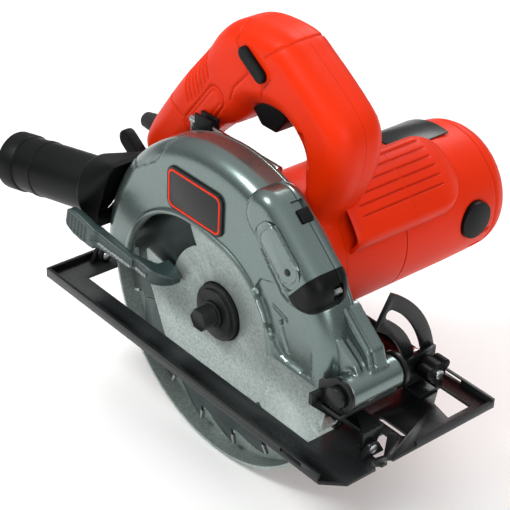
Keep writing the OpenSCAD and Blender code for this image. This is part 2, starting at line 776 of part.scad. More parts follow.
// Teeth point forwards at the bottom, where the blade runs with the cut
tooth_step = 360 / blade_teeth;
module saw_blade() color("slategray") translate([0, 0, arbor_z]) side(-half_t, half_t)
  difference() {
    polygon([for (i = [0 : blade_teeth - 1])
      for (p = [[0, 0], [9.8, -1.6], [10.8, 1], [10.2, 3.6], [6.6, 8.6], [3, 13.6], [0.8, 17.6]])
      polar(blade_r - p[0], i * tooth_step + p[1] * tooth_step / 20)]);
    circle(nose_r);
    for (i = [0 : 2]) rotate(-38 + i * 120) {
      translate([blade_r - 24, -0.4]) square([14, 0.8]);
      translate([blade_r - 24, 0]) circle(1.4);
    }
  }

module outer_flange() color(dark) difference() {
  union() {
    ycyl(flange_r, flange_y + 2, -half_t, 0, arbor_z);
    ycyl(flange_r - 2.5, flange_y, flange_y + 2, 0, arbor_z);
  }
  ycyl(4, flange_y - 1, 0, 0, arbor_z);
  ycyl(nose_r, -half_t - 0.7, 0, 0, arbor_z);
}

module blade_bolt() color(dark) {
  ycyl(4, flange_y, 14, 0, arbor_z);
  ycyl(9, flange_y - 2, flange_y, 0, arbor_z);
  translate([0, 0, arbor_z]) side(flange_y - bolt_head_l, flange_y - 2)
    circle(7.5, $fn = 6);
}

// ---- Handle's controls ----

module switch_module() color("black") block([motor_x - 46, split_y - 10, motor_z + 96],
  [motor_x - 20, split_y + 10, motor_z + 105]);

trigger_pivot = [motor_x - 5, motor_z + 96];
module trigger() color("black") {
  side(split_y - 9, split_y + 9)
    polygon([[motor_x - 39, motor_z + 90], [motor_x - 37, motor_z + 82],
      [motor_x - 28, motor_z + 73], [motor_x - 15, motor_z + 73],
      [motor_x - 8, motor_z + 82], [motor_x - 4, motor_z + 93]]);
  side(split_y - 4, split_y + 4) hull() {
    translate(trigger_pivot) circle(3, $fn = 32);
    translate([motor_x - 16, motor_z + 86]) circle(3, $fn = 32);
  }
}

module lock_off_button() color("black")
  side(handle_y0 - 3.2, handle_y1 + 3.2) lock_off_2d(0);

module cord_gland() color(dark) at_gland() {
  translate([0, 0, -8]) cylinder(r = gland_r, h = 18);
  translate([0, 0, 10]) cylinder(r1 = gland_r, r2 = gland_r - 1.2, h = 10);
}

key_y = 26;
key_z = motor_z + motor_r + 17;
module key_clip() color("black") difference() {
  block([-60, 22.8, key_z - 6], [-44, handle_y0, key_z + 7]);
  xcyl(2.6, -61, -43, key_y, key_z);
  block([-61, key_y - 1.6, key_z], [-43, key_y + 1.6, key_z + 8]);
}

module blade_key() color(steel) {
  xcyl(2.5, -66, 16, key_y, key_z);
  translate([-63.5, key_y, key_z - 20]) cylinder(r = 2.5, h = 20);
}

module spindle_lock_button() color("black") at_arbor(lock_a) {
  xcyl(2.5, case_r - 0.1, case_r + 8, 27, 0);
  xcyl(5, case_r + 7.2, case_r + 12, 27, 0);
}

module depth_lock_lever() color("black") difference() {
  union() {
    ycyl(9, arm_y + arm_t + move_gap, 29, clamp_x, clamp_z);
    side(arm_y + arm_t + 1.2, 28) hull() {
      translate([clamp_x, clamp_z]) circle(6);
      translate([clamp_x - 66, clamp_z + 48]) circle(6);
    }
    side(arm_y + arm_t + 0.6, 29.3) translate([clamp_x, clamp_z])
      pill([-62, 45], [-76, 54], 6.5);
  }
  ycyl(clamp_r + run_fit, arm_y, 32, clamp_x, clamp_z);
}

// ---- Laser pod ----

pod_c = upper_r - 7;
pod_r = 16;
pod_half = 23;
pod_wall = 2;
cover_half = 13;
module at_pod() at_arbor(pod_a) translate([pod_c, 0, 0]) children();
module pod_2d(grow = 0) pill([0, -pod_half], [0, pod_half], pod_r + grow);
module guard_solid() revolve_arbor() polygon(concat([[upper_r, -back_y - back_t]],
  [for (i = [0 : 8]) [upper_r - shoulder, -face_y - shoulder] + polar(shoulder, i * 11.25)],
  [[0, -face_y], [0, -back_y - back_t]]));

module laser_housing() color(silver) difference() {
  at_pod() difference() {
    side(pod_y0, pod_y1) difference() {
      pod_2d();
      translate([-40, -60]) square([80, 60 - pod_half + 1]);
    }
    side(pod_y0 + pod_wall, pod_y1 - pod_wall) pod_2d(-pod_wall);
    side(pod_y0 - 1, pod_y0 + pod_wall + 1)
      pill([0, -cover_half], [0, cover_half], 8.5);
    block([pod_r - 2.4, -4.4, 8], [pod_r + 1, 4.4, 22]);
  }
  guard_solid();
  guard_arm();
}

module laser_cover() color(silver) at_pod() difference() {
  side(pod_y0 + 0.3, pod_y0 + pod_wall) pill([0, -cover_half], [0, cover_half], 8.5);
  ycyl(2, pod_y0 - 1, pod_y0 + pod_wall + 1, 0, -cover_half + 2);
}

module laser_cover_screw() color(steel) at_pod() {
  ycyl(2, pod_y0 - 0.2, face_y - move_gap, 0, -cover_half + 2);
}

module laser_batteries() color(steel) at_pod() for (z = [1, 22])
  ycyl(9.8, pod_y0 + pod_wall + 0.2, face_y - 0.6, 0, z);

lens_x = 10.4;
lens_z = -pod_half - pod_r + 4.4;
lens_r = 2.8;

// Where the lens lies in the side view
function lens_at() = [0, arbor_z] + polar(pod_c + lens_x, pod_a) + polar(lens_z, pod_a + 90);
module laser_module() color("black") difference() {
  at_pod() difference() {
    side(pod_y0, pod_y1) intersection() {
      pod_2d();
      translate([-40, -60]) square([80, 60 - pod_half + 1]);
    }
    translate([lens_x, -1, -60]) cylinder(r = lens_r, h = 30);
  }
  guard_solid();
  guard_arm();
}

module laser_lens() color("lightblue") at_pod()
  translate([lens_x, -1, lens_z]) cylinder(r = lens_r, h = 2.4);

module laser_switch() color("black") at_pod()
  block([pod_r - 2.2, -4, 8.4], [pod_r + 1.6, 4, 16.4]);

module housing_screws() color(steel) for (p = [[-112, 36], [-78, 84], [-52, 122],
    [36, 96], [-62, 10]])
  ycyl(3.2, handle_y1, handle_y1 + 1.6, motor_x + p[0], motor_z + p[1]);

base_plate();
bevel_quadrant();
base_hinge_ears();
bevel_hinge_pins();
tilt_bracket();
depth_pivot_pin();
rear_bracket();
depth_arm();
bevel_bolt();
bevel_lock_knob();
upper_guard();
guard_back_plate();
guard_screws();
dust_hood();
dust_port();
badge_plate();
gear_case();
handle_shell_left();
handle_shell_right();
motor_end_housing();
rating_plate();
stator();
field_coils();
front_bearing();
rear_bearing();
spindle_bearing();
spindle_bush();
brush_holders();
carbon_brushes();
brush_caps();
switch_module();
key_clip();
blade_key();
cord_gland();
laser_housing();
laser_cover();
laser_cover_screw();
laser_module();
laser_lens();
laser_switch();
laser_batteries();
housing_screws();
trigger();
lock_off_button();
spindle_lock_button();
depth_lock_lever();
output_spindle();
output_gear();
inner_flange();
saw_blade();
outer_flange();
blade_bolt();
armature_shaft();
armature_core();
commutator();
cooling_fan();
lower_guard();
guard_lever();
guard_spring();
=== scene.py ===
# %% [markdown]
# # A corded circular saw, its skins and finishes
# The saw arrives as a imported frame: every part is already in its right place and size.
# This file gives each visible part its final skin and finish. Lengths are in metres, and
# MM turns the millimetres of a workshop drawing into them. +X is the cutting direction,
# +Y runs from the blade to the motor, and the sole's lower face lies at height 0.

# %% Load the frame
import json
import math
import bmesh
import bpy
import numpy as np
from mathutils import Matrix, Vector

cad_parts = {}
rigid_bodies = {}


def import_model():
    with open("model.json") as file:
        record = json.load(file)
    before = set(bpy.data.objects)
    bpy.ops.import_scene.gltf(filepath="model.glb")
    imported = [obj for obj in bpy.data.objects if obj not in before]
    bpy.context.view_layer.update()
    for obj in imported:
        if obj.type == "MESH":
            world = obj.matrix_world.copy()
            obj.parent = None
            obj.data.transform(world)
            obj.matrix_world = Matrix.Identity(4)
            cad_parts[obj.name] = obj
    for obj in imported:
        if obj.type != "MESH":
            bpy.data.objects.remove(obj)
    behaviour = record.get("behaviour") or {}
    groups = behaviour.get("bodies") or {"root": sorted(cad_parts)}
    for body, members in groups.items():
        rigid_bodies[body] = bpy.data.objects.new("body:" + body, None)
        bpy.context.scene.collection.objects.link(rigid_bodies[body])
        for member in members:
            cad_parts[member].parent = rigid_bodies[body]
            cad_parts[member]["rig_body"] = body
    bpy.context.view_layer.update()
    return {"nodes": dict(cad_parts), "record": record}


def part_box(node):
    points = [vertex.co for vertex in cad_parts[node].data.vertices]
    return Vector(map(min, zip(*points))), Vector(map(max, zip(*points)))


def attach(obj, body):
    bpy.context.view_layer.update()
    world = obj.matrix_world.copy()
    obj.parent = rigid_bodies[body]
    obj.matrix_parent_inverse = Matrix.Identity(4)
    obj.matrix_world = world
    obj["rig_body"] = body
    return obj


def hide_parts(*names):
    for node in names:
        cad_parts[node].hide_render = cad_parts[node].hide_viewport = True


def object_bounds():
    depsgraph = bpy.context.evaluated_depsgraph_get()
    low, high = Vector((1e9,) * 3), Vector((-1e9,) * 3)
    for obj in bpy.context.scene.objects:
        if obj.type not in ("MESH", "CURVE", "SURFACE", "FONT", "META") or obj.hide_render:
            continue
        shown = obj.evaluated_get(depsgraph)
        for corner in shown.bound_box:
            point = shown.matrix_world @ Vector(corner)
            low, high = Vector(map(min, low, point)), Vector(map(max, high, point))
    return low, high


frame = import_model()
MM = 0.001
print("nodes in the frame:", len(frame["nodes"]))

# %% [markdown]
# ## Where things are
# Nothing is placed by eye. The blade's box gives the arbor, the stator's box gives the
# motor's axis, and the dust outlet's own record says where its bore lies. A size that
# the frame already knows is read from it, so both models stay in step.

# %% Landmarks read from the frame
def centre(node):
    low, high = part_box(node)
    return (low + high) / 2


arbor = centre("output_spindle")
motor = centre("stator")
blade_low, blade_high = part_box("saw_blade")
guard_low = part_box("upper_guard")[0]
blade_r = (blade_high.x - blade_low.x) / 2
upper_r = -guard_low.x
face_y = guard_low.y
motor_low, motor_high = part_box("motor_end_housing")
motor_r = motor.x - motor_low.x
mounts = {m["name"]: m for m in frame["record"]["mounts"]}
print("arbor", arbor, "motor", motor, "motor radius", round(motor_r / MM, 1), "mm")

# %% [markdown]
# ## The camera
# The view looks down on the blade side from the front left. It is given as an azimuth,
# a height and a slight roll, and the camera backs away from a target on the saw.

# %% Camera
AZIMUTH, HEIGHT, ROLL = math.radians(48.43), math.radians(32.0), math.radians(2.6)
TARGET = Vector((-2.77, 26.56, 57.05)) * MM
DISTANCE = 1017.2 * MM
back = Vector((math.sin(AZIMUTH) * math.cos(HEIGHT), -math.cos(AZIMUTH) * math.cos(HEIGHT),
               math.sin(HEIGHT)))
right = Vector((math.cos(AZIMUTH), math.sin(AZIMUTH), 0))
up = back.cross(right)
screen_right = math.cos(ROLL) * right + math.sin(ROLL) * up
screen_up = math.cos(ROLL) * up - math.sin(ROLL) * right
camera = bpy.data.objects.new("camera", bpy.data.cameras.new("camera"))
camera.data.lens = 117.24
camera.data.sensor_width = 36
turn = Matrix((screen_right, screen_up, back)).transposed().to_4x4()
camera.matrix_world = Matrix.Translation(TARGET + back * DISTANCE) @ turn
bpy.context.scene.collection.objects.link(camera)
bpy.context.scene.camera = camera

# %% [markdown]
# ## Helpers for meshes
# A part can be made in three ways here. Sheet metal and small hardware keep the shape
# that the frame gives them and only need their sharp edges eased, as a press or a mould
# leaves them. Soft moulded shapes are remeshed to an even skin of small squares that can
# be smoothed and carved. Turned and lofted parts are built from nothing with operators.

# %% From a bmesh to a finished piece
def link(mesh, name):
    obj = bpy.data.objects.new(name, mesh)
    bpy.context.scene.collection.objects.link(obj)
    return obj


def to_object(bm, name):
    mesh = bpy.data.meshes.new(name)
    bm.to_mesh(mesh)
    bm.free()
    return link(mesh, name)


def settle(obj):
    """Applies the object's modifiers to its mesh."""
    bpy.context.view_layer.update()
    shaped = obj.evaluated_get(bpy.context.evaluated_depsgraph_get())
    mesh = bpy.data.meshes.new_from_object(shaped)
    obj.modifiers.clear()
    obj.data = mesh
    return obj


def finish_piece(obj, node, finish, extra=(), crease=38, body=None):
    """Shades the piece, gives it its finish and lets it stand for its frame nodes."""
    obj.data.shade_smooth()
    obj.data.set_sharp_from_angle(angle=math.radians(crease))
    obj.data.materials.clear()
    obj.data.materials.append(finish)
    home = frame["nodes"][node]
    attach(obj, body or home["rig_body"])
    if body is None:
        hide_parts(node, *extra)
    return obj


slot_of = {s["node"]: s["material_slot"] for s in frame["record"]["subparts"]}


# %% Copies of frame nodes with eased or softened edges
def copy_of(node):
    bm = bmesh.new()
    bm.from_mesh(frame["nodes"][node].data)
    bmesh.ops.remove_doubles(bm, verts=bm.verts, dist=0.004 * MM)
    return bm


def ease_edges(bm, width, angle=28, segments=2):
    bmesh.ops.dissolve_limit(bm, angle_limit=math.radians(0.6), verts=bm.verts,
                             edges=bm.edges)
    sharp = [e for e in bm.edges if len(e.link_faces) == 2
             and e.calc_face_angle(0) > math.radians(angle)]
    bmesh.ops.bevel(bm, geom=sharp, offset=width, offset_type="OFFSET", segments=segments,
                    profile=0.5, affect="EDGES", clamp_overlap=True, material=-1)


def eased(node, finish, width):
    bm = copy_of(node)
    ease_edges(bm, width * MM)
    return finish_piece(to_object(bm, node + "_skin"), node, finish)


def remesh(obj, voxel):
    grid = obj.modifiers.new("even skin", "REMESH")
    grid.mode = "VOXEL"
    grid.voxel_size = voxel * MM
    return settle(obj)


def smooth(obj, rounds, keep=None):
    bm = bmesh.new()
    bm.from_mesh(obj.data)
    verts = [v for v in bm.verts if keep is None or keep(v.co)]
    for _ in range(rounds):
        bmesh.ops.smooth_vert(bm, verts=verts, factor=0.5, use_axis_x=True,
                              use_axis_y=True, use_axis_z=True)
    bm.to_mesh(obj.data)
    bm.free()
    return obj


def softened(node, finish, voxel=0.8, rounds=3):
    obj = remesh(to_object(copy_of(node), node + "_skin"), voxel)
    smooth(obj, rounds)
    return finish_piece(obj, node, finish)


# %% [markdown]
# ## Colours and nodes
# Colours are written as sRGB hex values, as a paint maker's swatch gives them, and turned
# to linear light here. One helper adds a shader node with its settings and its links.

# %% Colour and node helpers
def colour(hex_value):
    parts = [int(hex_value[i:i + 2], 16) / 255 for i in (0, 2, 4)]
    return [p / 12.92 if p <= 0.04045 else ((p + 0.055) / 1.055) ** 2.4
            for p in parts] + [1.0]


def add(tree, kind, links=None, values=None, **settings):
    """Adds a node: links and values are keyed by input, settings by property."""
    made = tree.nodes.new("ShaderNode" + kind)
    for key, value in settings.items():
        setattr(made, key, value)
    for key, value in (values or {}).items():
        made.inputs[key].default_value = value
    for key, source in (links or {}).items():
        tree.links.new(source, made.inputs[key])
    return made


def surface(name, base, worn, rough=(0.35, 0.5), metallic=0.0, cloud_mm=30, grain_mm=0.6,
            grain_height=0.02, dark=0.85, wear=0.35, coat=0.0, coat_rough=0.1, ior=1.5,
            stretch=(1, 1, 1), painted_seam_shade=1.0):
    """A finish with cloudy variation, fine grain, paler worn edges and painted shade in its
    hollows.
    """
    mat = bpy.data.materials.new(name)
    mat.use_nodes = True
    tree = mat.node_tree
    shader = tree.nodes["Principled BSDF"]
    place = add(tree, "TexCoord").outputs["Object"]
    drawn_out = add(tree, "Mapping", {"Vector": place}, {"Scale": stretch})
    clouds = add(tree, "TexNoise", {"Vector": place},
                 {"Scale": 1 / (cloud_mm * MM), "Detail": 4.0}).outputs["Fac"]
    grain = add(tree, "TexNoise", {"Vector": drawn_out.outputs["Vector"]},
                {"Scale": 1 / (grain_mm * MM), "Detail": 3.0}).outputs["Fac"]
    shade = add(tree, "MapRange", {"Value": clouds},
                {"From Min": 0.3, "From Max": 0.7, "To Min": dark, "To Max": 1.0})
    body = add(tree, "VectorMath", {1: shade.outputs["Result"]}, {0: colour(base)[:3]},
               operation="MULTIPLY")
    ridge = add(tree, "NewGeometry").outputs["Pointiness"]
    edge = add(tree, "MapRange", {"Value": ridge},
               {"From Min": 0.52, "From Max": 0.62, "To Min": 0.0, "To Max": wear})
    # painted shade: where pointiness is low, in seams, grooves and inner corners, the colour
    # is darkened
    painted_hollow_shade = add(tree, "MapRange", {"Value": ridge},
                 {"From Min": 0.43, "From Max": 0.492, "To Min": painted_seam_shade, "To Max": 1.0})
    body = add(tree, "VectorMath", {0: body.outputs[0], 1: painted_hollow_shade.outputs["Result"]},
               operation="MULTIPLY")
    tint = add(tree, "Mix", {"Factor": edge.outputs["Result"], 6: body.outputs[0]},
               {7: colour(worn)}, data_type="RGBA")
    gloss = add(tree, "MapRange", {"Value": grain},
                {"From Min": 0.3, "From Max": 0.7, "To Min": rough[0], "To Max": rough[1]})
    bump = add(tree, "Bump", {"Height": grain},
               {"Strength": 1.0, "Distance": grain_height * MM})
    tree.links.new(tint.outputs[2], shader.inputs["Base Color"])
    tree.links.new(gloss.outputs["Result"], shader.inputs["Roughness"])
    tree.links.new(bump.outputs["Normal"], shader.inputs["Normal"])
    shader.inputs["Metallic"].default_value = metallic
    shader.inputs["IOR"].default_value = ior
    shader.inputs["Coat Weight"].default_value = coat
    shader.inputs["Coat Roughness"].default_value = coat_rough
    return mat


# %% [markdown]
# ## The finishes
# The housings are injection-moulded nylon filled with glass: a satin skin with a fine
# spark-eroded grain. The guards are die-cast aluminium under a satin metallic lacquer,
# except for the lower guard, which is only blasted with grit. The sole is stamped steel
# under black stove enamel. Each finish starts from what that surface does with light.

# %% Visible finishes
# Orange nylon: a satin skin, grain of about 0.5 mm, slightly paler where hands rub it, with
# painted shade darkening its seams
orange_nylon = surface("orange moulded nylon", "D92A00", "E63F10", (0.38, 0.48),
                       cloud_mm=60, grain_mm=0.5, grain_height=0.004, dark=0.93,
                       wear=0.2, ior=1.23, painted_seam_shade=0.3)
# Black nylon: the same mould grain, deeper so that it breaks up the reflection
black_nylon = surface("black moulded nylon", "08090A", "262A2A", (0.34, 0.5),
                      cloud_mm=40, grain_mm=0.5, grain_height=0.006, dark=0.8, wear=0.25,
                      ior=1.22)
# Lacquered casting: metal flakes under clear lacquer give a soft wide highlight; its seams get
# a strong painted shade
grey_lacquer = surface("metallic grey lacquer on casting", "687774", "A4B0AD",
                       (0.24, 0.32), metallic=0.8, cloud_mm=80, grain_mm=0.35,
                       grain_height=0.002, dark=0.9, wear=0.3, coat=0.35,
                       coat_rough=0.12, painted_seam_shade=0.12)
# Grit-blasted aluminium: bright with a coarse sparkle from pits of about half a millimetre
blasted = surface("grit-blasted aluminium", "ABB7B3", "CFD7D5", (0.34, 0.62),
                  metallic=0.7, cloud_mm=1.7, grain_mm=0.9, grain_height=0.1,
                  dark=0.62, wear=0.3)
# Stove enamel on steel: deep black, glossier than plastic, rubbed bright at its edges
enamel = surface("black stove enamel", "0A0B0C", "3C4041", (0.24, 0.4), cloud_mm=25,
                 grain_mm=0.9, grain_height=0.008, dark=0.75, wear=0.3, coat=0.04, ior=1.3,
                 coat_rough=0.2)
# Black oxide on the flange and the bolt: thin, dull and slightly uneven
oxide = surface("black oxide on steel", "1A1B1C", "4B4D4F", (0.35, 0.5), metallic=0.6,
                cloud_mm=12, grain_mm=0.4, grain_height=0.006, dark=0.7, wear=0.4)
# Coated blade steel: drawn along one way by the grinding wheel
blade_steel = surface("ground and coated blade steel", "3B4746", "9AA3A2", (0.24, 0.42),
                      metallic=0.85, cloud_mm=22, grain_mm=0.7, grain_height=0.006,
                      dark=0.7, wear=0.45, stretch=(1, 1, 14))
zinc = surface("bright zinc plate", "B9BDBE", "E2E4E4", (0.22, 0.36), metallic=1.0,
               cloud_mm=10, grain_mm=0.5, grain_height=0.004, dark=0.85)
ground_steel = surface("ground steel", "9DA0A2", "D0D2D3", (0.18, 0.34), metallic=1.0,
                       cloud_mm=14, grain_mm=0.3, grain_height=0.003, dark=0.85,
                       stretch=(1, 8, 1))
# Grey-green lever nylon, with painted shade darkening its seams and grooves
lever_nylon = surface("grey-green moulded nylon", "2B3B3A", "6D807D", (0.28, 0.42),
                      cloud_mm=20, grain_mm=0.5, grain_height=0.006, dark=0.8, wear=0.5,
                      painted_seam_shade=0.3)
label_film = surface("black printed film", "08090A", "1C1E1E", (0.25, 0.34), cloud_mm=18,
                     grain_mm=0.8, grain_height=0.002, dark=0.85, wear=0.1, ior=1.36)
gloss_black = surface("polished black plastic", "08090A", "2B2F30", (0.08, 0.16),
                      cloud_mm=15, grain_mm=1.2, grain_height=0.002, dark=0.8, wear=0.2)
carbide = surface("brazed carbide", "8D8F90", "C9CBCB", (0.28, 0.4), metallic=0.9,
                  cloud_mm=4, grain_mm=0.25, grain_height=0.006, dark=0.8)

# %% Finishes of what lies inside
rubber = surface("black rubber", "141516", "2B2C2D", (0.6, 0.75), grain_mm=0.6,
                 grain_height=0.01)
laminations = surface("stacked core plates", "55575A", "8C8E90", (0.4, 0.6),
                      metallic=0.8, grain_mm=0.5, grain_height=0.02, stretch=(1, 30, 1))
copper = surface("enamelled copper winding", "B4622F", "D98B55", (0.25, 0.4),
                 metallic=0.8, grain_mm=0.8, grain_height=0.05, stretch=(1, 6, 1))
bronze = surface("sintered bronze", "A8803F", "CDA768", (0.35, 0.5), metallic=0.9,
                 grain_mm=0.3, grain_height=0.01)
carbon = surface("pressed carbon", "1D1D1E", "38383A", (0.5, 0.7), grain_mm=0.3,
                 grain_height=0.01)
cast_metal = surface("raw die-cast aluminium", "8E9292", "B7BABA", (0.4, 0.55),
                     metallic=0.9, cloud_mm=18, grain_mm=0.8, grain_height=0.02)
glass = surface("clear lens", "DDE8E6", "FFFFFF", (0.03, 0.06), cloud_mm=8,
                grain_mm=2.0, grain_height=0.001)
glass.node_tree.nodes["Principled BSDF"].inputs["Transmission Weight"].default_value = 0.8

finish_of_slot = {
    "black_steel": enamel, "zinc_steel": zinc, "black_plastic": black_nylon,
    "silver_paint": grey_lacquer, "badge": label_film, "cast_aluminium": cast_metal,
    "orange_plastic": orange_nylon, "label": label_film, "laminations": laminations,
    "copper": copper, "bearing_steel": ground_steel, "bronze": bronze,
    "carbon": carbon, "black_rubber": rubber, "gloss_black": gloss_black, "lens": glass,
    "blade_steel": blade_steel, "black_oxide": oxide, "blasted_aluminium": blasted,
    "lever_plastic": lever_nylon,
}
for node, obj in frame["nodes"].items():
    obj.data.materials.clear()
    obj.data.materials.append(finish_of_slot[slot_of[node]])
print("finishes:", len(finish_of_slot))

# %% [markdown]
# ## Hardware and sheet metal
# A stamped or turned part has no knife edges: the press, the file and the enamel leave a
# small radius that catches the light. These parts keep the frame's shape, and a copy of
# each gets its sharp edges bevelled by the radius that its making leaves.

# %% Eased copies
EASED = {
    "base_plate": 0.8, "bevel_quadrant": 0.5, "base_hinge_ears": 0.5,
    "bevel_hinge_pins": 0.4, "tilt_bracket": 0.6, "depth_pivot_pin": 0.8,
    "rear_bracket": 0.5, "depth_arm": 0.3, "bevel_bolt": 0.4, "guard_back_plate": 0.5,
    "guard_screws": 0.4, "key_clip": 0.6, "blade_key": 0.4, "cord_gland": 0.6,
    "spindle_lock_button": 0.6, "brush_caps": 0.5, "housing_screws": 0.4,
    "outer_flange": 0.9, "blade_bolt": 0.5, "laser_cover_screw": 0.2,
    "laser_switch": 0.4, "laser_cover": 0.3, "lower_guard": 0.4, "rating_plate": 0.15,
}
finish_of = {node: finish_of_slot[slot_of[node]] for node in EASED}
# the pod's screw is blackened, unlike the others
finish_of["laser_cover_screw"] = oxide
for node, width in EASED.items():
    eased(node, finish_of[node], width)
# the lower guard's bore turns on the hub with a little more room than its facets leave
HUB_R, HUB_Y, BORE_ROOM = 25 * MM, 5 * MM, 1.02
hub = bpy.data.objects["lower_guard_skin"].data
for v in hub.vertices:
    reach = math.hypot(v.co.x, v.co.z - arbor.z)
    if reach < HUB_R and v.co.y > HUB_Y:
        v.co.x, v.co.z = v.co.x * BORE_ROOM, arbor.z + (v.co.z - arbor.z) * BORE_ROOM
print("eased parts:", len(EASED))

# %% [markdown]
# ## Thick moulded parts
# The dust hood, the levers, the trigger and the lock-off button are thick mouldings whose
# edges are rounded by several millimetres. An even skin of small squares, relaxed a few
# times, rounds every edge at once, as a tumbling barrel would.

# %% Softened copies
SOFT = {"dust_hood": (1.0, 8), "depth_lock_lever": (0.7, 6), "trigger": (0.6, 8),
        "lock_off_button": (0.6, 6), "bevel_lock_knob": (0.6, 5), "gear_case": (1.2, 4)}
for node, (voxel, rounds) in SOFT.items():
    softened(node, finish_of_slot[slot_of[node]], voxel, rounds)
print("softened parts:", len(SOFT))


# %% [markdown]
# ## The loop handle
# The real handle is two half shells that meet along a seam in the middle of its width.
# Lofting it along a path would need a different section at every corner, so it is drawn
# as a side view instead: an outer line and a finger hole, thickened to the handle's
# width. Every vertex near the line is then pulled onto a quarter circle, which turns the
# slab's square edges into the full round that a hand closes on.

# %% Smooth lines in the side view
def closed_curve(points, steps=8):
    """A smooth closed line through a few chosen points."""
    p = np.array(points, float)
    line = []
    for i in range(len(p)):
        a, b, c, d = p[i - 1], p[i], p[(i + 1) % len(p)], p[(i + 2) % len(p)]
        for t in np.arange(steps) / steps:
            line.append(b + 0.5 * t * (c - a + t * (2 * a - 5 * b + 4 * c - d
                                                    + t * (3 * (b - c) + d - a))))
    return np.array(line)


def nearest(points, line, closed=True):
    """Distance from each point to a line, and the unit normal left of the line there."""
    line = np.array(line, float)
    ends = np.roll(line, -1, axis=0) if closed else line[1:]
    starts = line if closed else line[:-1]
    best = np.full(len(points), 1e9)
    normal = np.zeros((len(points), 2))
    for a, b in zip(starts, ends):
        way = b - a
        t = np.clip(((points - a) @ way) / max(way @ way, 1e-12), 0, 1)
        gap = np.linalg.norm(points - a - t[:, None] * way, axis=1)
        closer = gap < best
        best[closer] = gap[closer]
        normal[closer] = np.array((-way[1], way[0])) / np.linalg.norm(way)
    return best, normal


def in_motor(points):
    return [(motor.x / MM + x, motor.z / MM + z) for x, z in points]


outer_line = closed_curve(in_motor([
    (-135, 19), (-132, 32), (-118, 54), (-98, 81), (-76, 107), (-65, 122), (-52, 133),
    (-35, 139), (-8, 139), (10, 130), (32, 116), (46, 105), (52, 94), (52.5, 80), (49, 64),
    (42, 48), (35, 34), (32, 10), (20, -26), (-20, -33), (-44, -18), (-70, -8), (-100, -3),
    (-127, 4)]))
finger_line = closed_curve(in_motor([
    (-91, 24), (-84, 38), (-62, 58), (-50, 65), (-41, 73), (-32, 85), (-20, 90),
    (-4, 90.5), (8, 85), (14, 76), (17, 64), (17, 50), (10, 43), (0, 42), (-30, 28),
    (-42, 18), (-60, 17), (-80, 17)]))


# %% Reading and writing all vertices at once
def get_points(mesh):
    points = np.empty(len(mesh.vertices) * 3)
    mesh.vertices.foreach_get("co", points)
    return points.reshape(-1, 3) / MM


def get_normals(mesh):
    normals = np.empty(len(mesh.vertices) * 3)
    mesh.vertex_normals.foreach_get("vector", normals)
    return normals.reshape(-1, 3)


def set_points(mesh, points):
    mesh.vertices.foreach_set("co", (points * MM).ravel())
    mesh.update()


def slab(lines, y0, y1, name):
    """A flat body between two planes, from closed lines in the side view."""
    bm = bmesh.new()
    for line in lines:
        verts = [bm.verts.new((x * MM, y0 * MM, z * MM)) for x, z in line]
        for a, b in zip(verts, verts[1:] + verts[:1]):
            bm.edges.new((a, b))
    filled = bmesh.ops.triangle_fill(bm, use_beauty=True, edges=bm.edges)
    faces = [g for g in filled["geom"] if isinstance(g, bmesh.types.BMFace)]
    grown = bmesh.ops.extrude_face_region(bm, geom=faces)
    moved = [g for g in grown["geom"] if isinstance(g, bmesh.types.BMVert)]
    bmesh.ops.translate(bm, verts=moved, vec=(0, (y1 - y0) * MM, 0))
    bmesh.ops.recalc_face_normals(bm, faces=bm.faces)
    return to_object(bm, name)


def round_over(obj, lines, y0, y1, radius):
    """Pulls the slab's edges onto quarter circles of the given radius."""
    points = get_points(obj.data)
    side = points[:, [0, 2]]
    found = [nearest(side, line) for line in lines]
    pick = np.argmin([f[0] for f in found], axis=0)
    gap = np.choose(pick, [f[0] for f in found])
    inward = np.where(pick[:, None] == 0, *[f[1] for f in found]) if len(found) > 1 \
        else found[0][1]
    middle, half = (y0 + y1) / 2, (y1 - y0) / 2
    across = radius - gap
    height = np.abs(points[:, 1] - middle) - (half - radius)
    reach = np.hypot(across, height)
    outside = (across > 0) & (height > 0) & (reach > radius)
    scale = radius / np.maximum(reach, 1e-9)
    shift = np.where(outside, across * (1 - scale), 0)
    points[:, [0, 2]] += inward * shift[:, None]
    lower = np.where(outside, height * (1 - scale), 0)
    points[:, 1] -= np.sign(points[:, 1] - middle) * lower
    set_points(obj.data, points)


def join(objects, name):
    """One mesh from several, whose shells may overlap."""
    bm = bmesh.new()
    for obj in objects:
        bm.from_mesh(obj.data)
        bpy.data.objects.remove(obj)
    return to_object(bm, name)


def counterclockwise(line):
    x, z = line[:, 0], line[:, 1]
    area = np.sum(x * np.roll(z, -1) - np.roll(x, -1) * z)
    return line if area > 0 else line[::-1]


# %% Body of the handle, with its rounded edges
outer_line = counterclockwise(outer_line)
finger_line = counterclockwise(finger_line)[::-1]
handle_low, handle_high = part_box("handle_shell_left")
SEAM_Y = handle_high.y / MM
HALF_WIDTH = 20
TUBE_Y0 = handle_low.y / MM
SEAM_ACROSS = motor_low.y / MM
loop_y = (SEAM_Y - HALF_WIDTH, SEAM_Y + HALF_WIDTH)
loop = slab([outer_line, finger_line], *loop_y, "loop")
remesh(loop, 1.0)
round_over(loop, [outer_line, finger_line], *loop_y, 14)


# %% [markdown]
# ## The motor's barrel joins the handle
# The barrel is a plain turned body. Merging it with the handle in one even skin welds
# the two, and relaxing only the vertices around the joint flows a fillet into it, as the
# mould has.

# %% Barrel and handle as one skin
def barrel(radius, y0, y1, name, segments=160):
    bm = bmesh.new()
    place = Matrix.Translation((motor.x, (y0 + y1) / 2 * MM, motor.z)) \
        @ Matrix.Rotation(math.radians(90), 4, "X")
    bmesh.ops.create_cone(bm, cap_ends=True, segments=segments, radius1=radius * MM,
                          radius2=radius * MM, depth=(y1 - y0) * MM, matrix=place)
    return to_object(bm, name)


BARREL = motor_r / MM
shell = join([loop, barrel(BARREL, TUBE_Y0, SEAM_ACROSS, "barrel")], "handle")
remesh(shell, 0.85)
smooth(shell, 2)


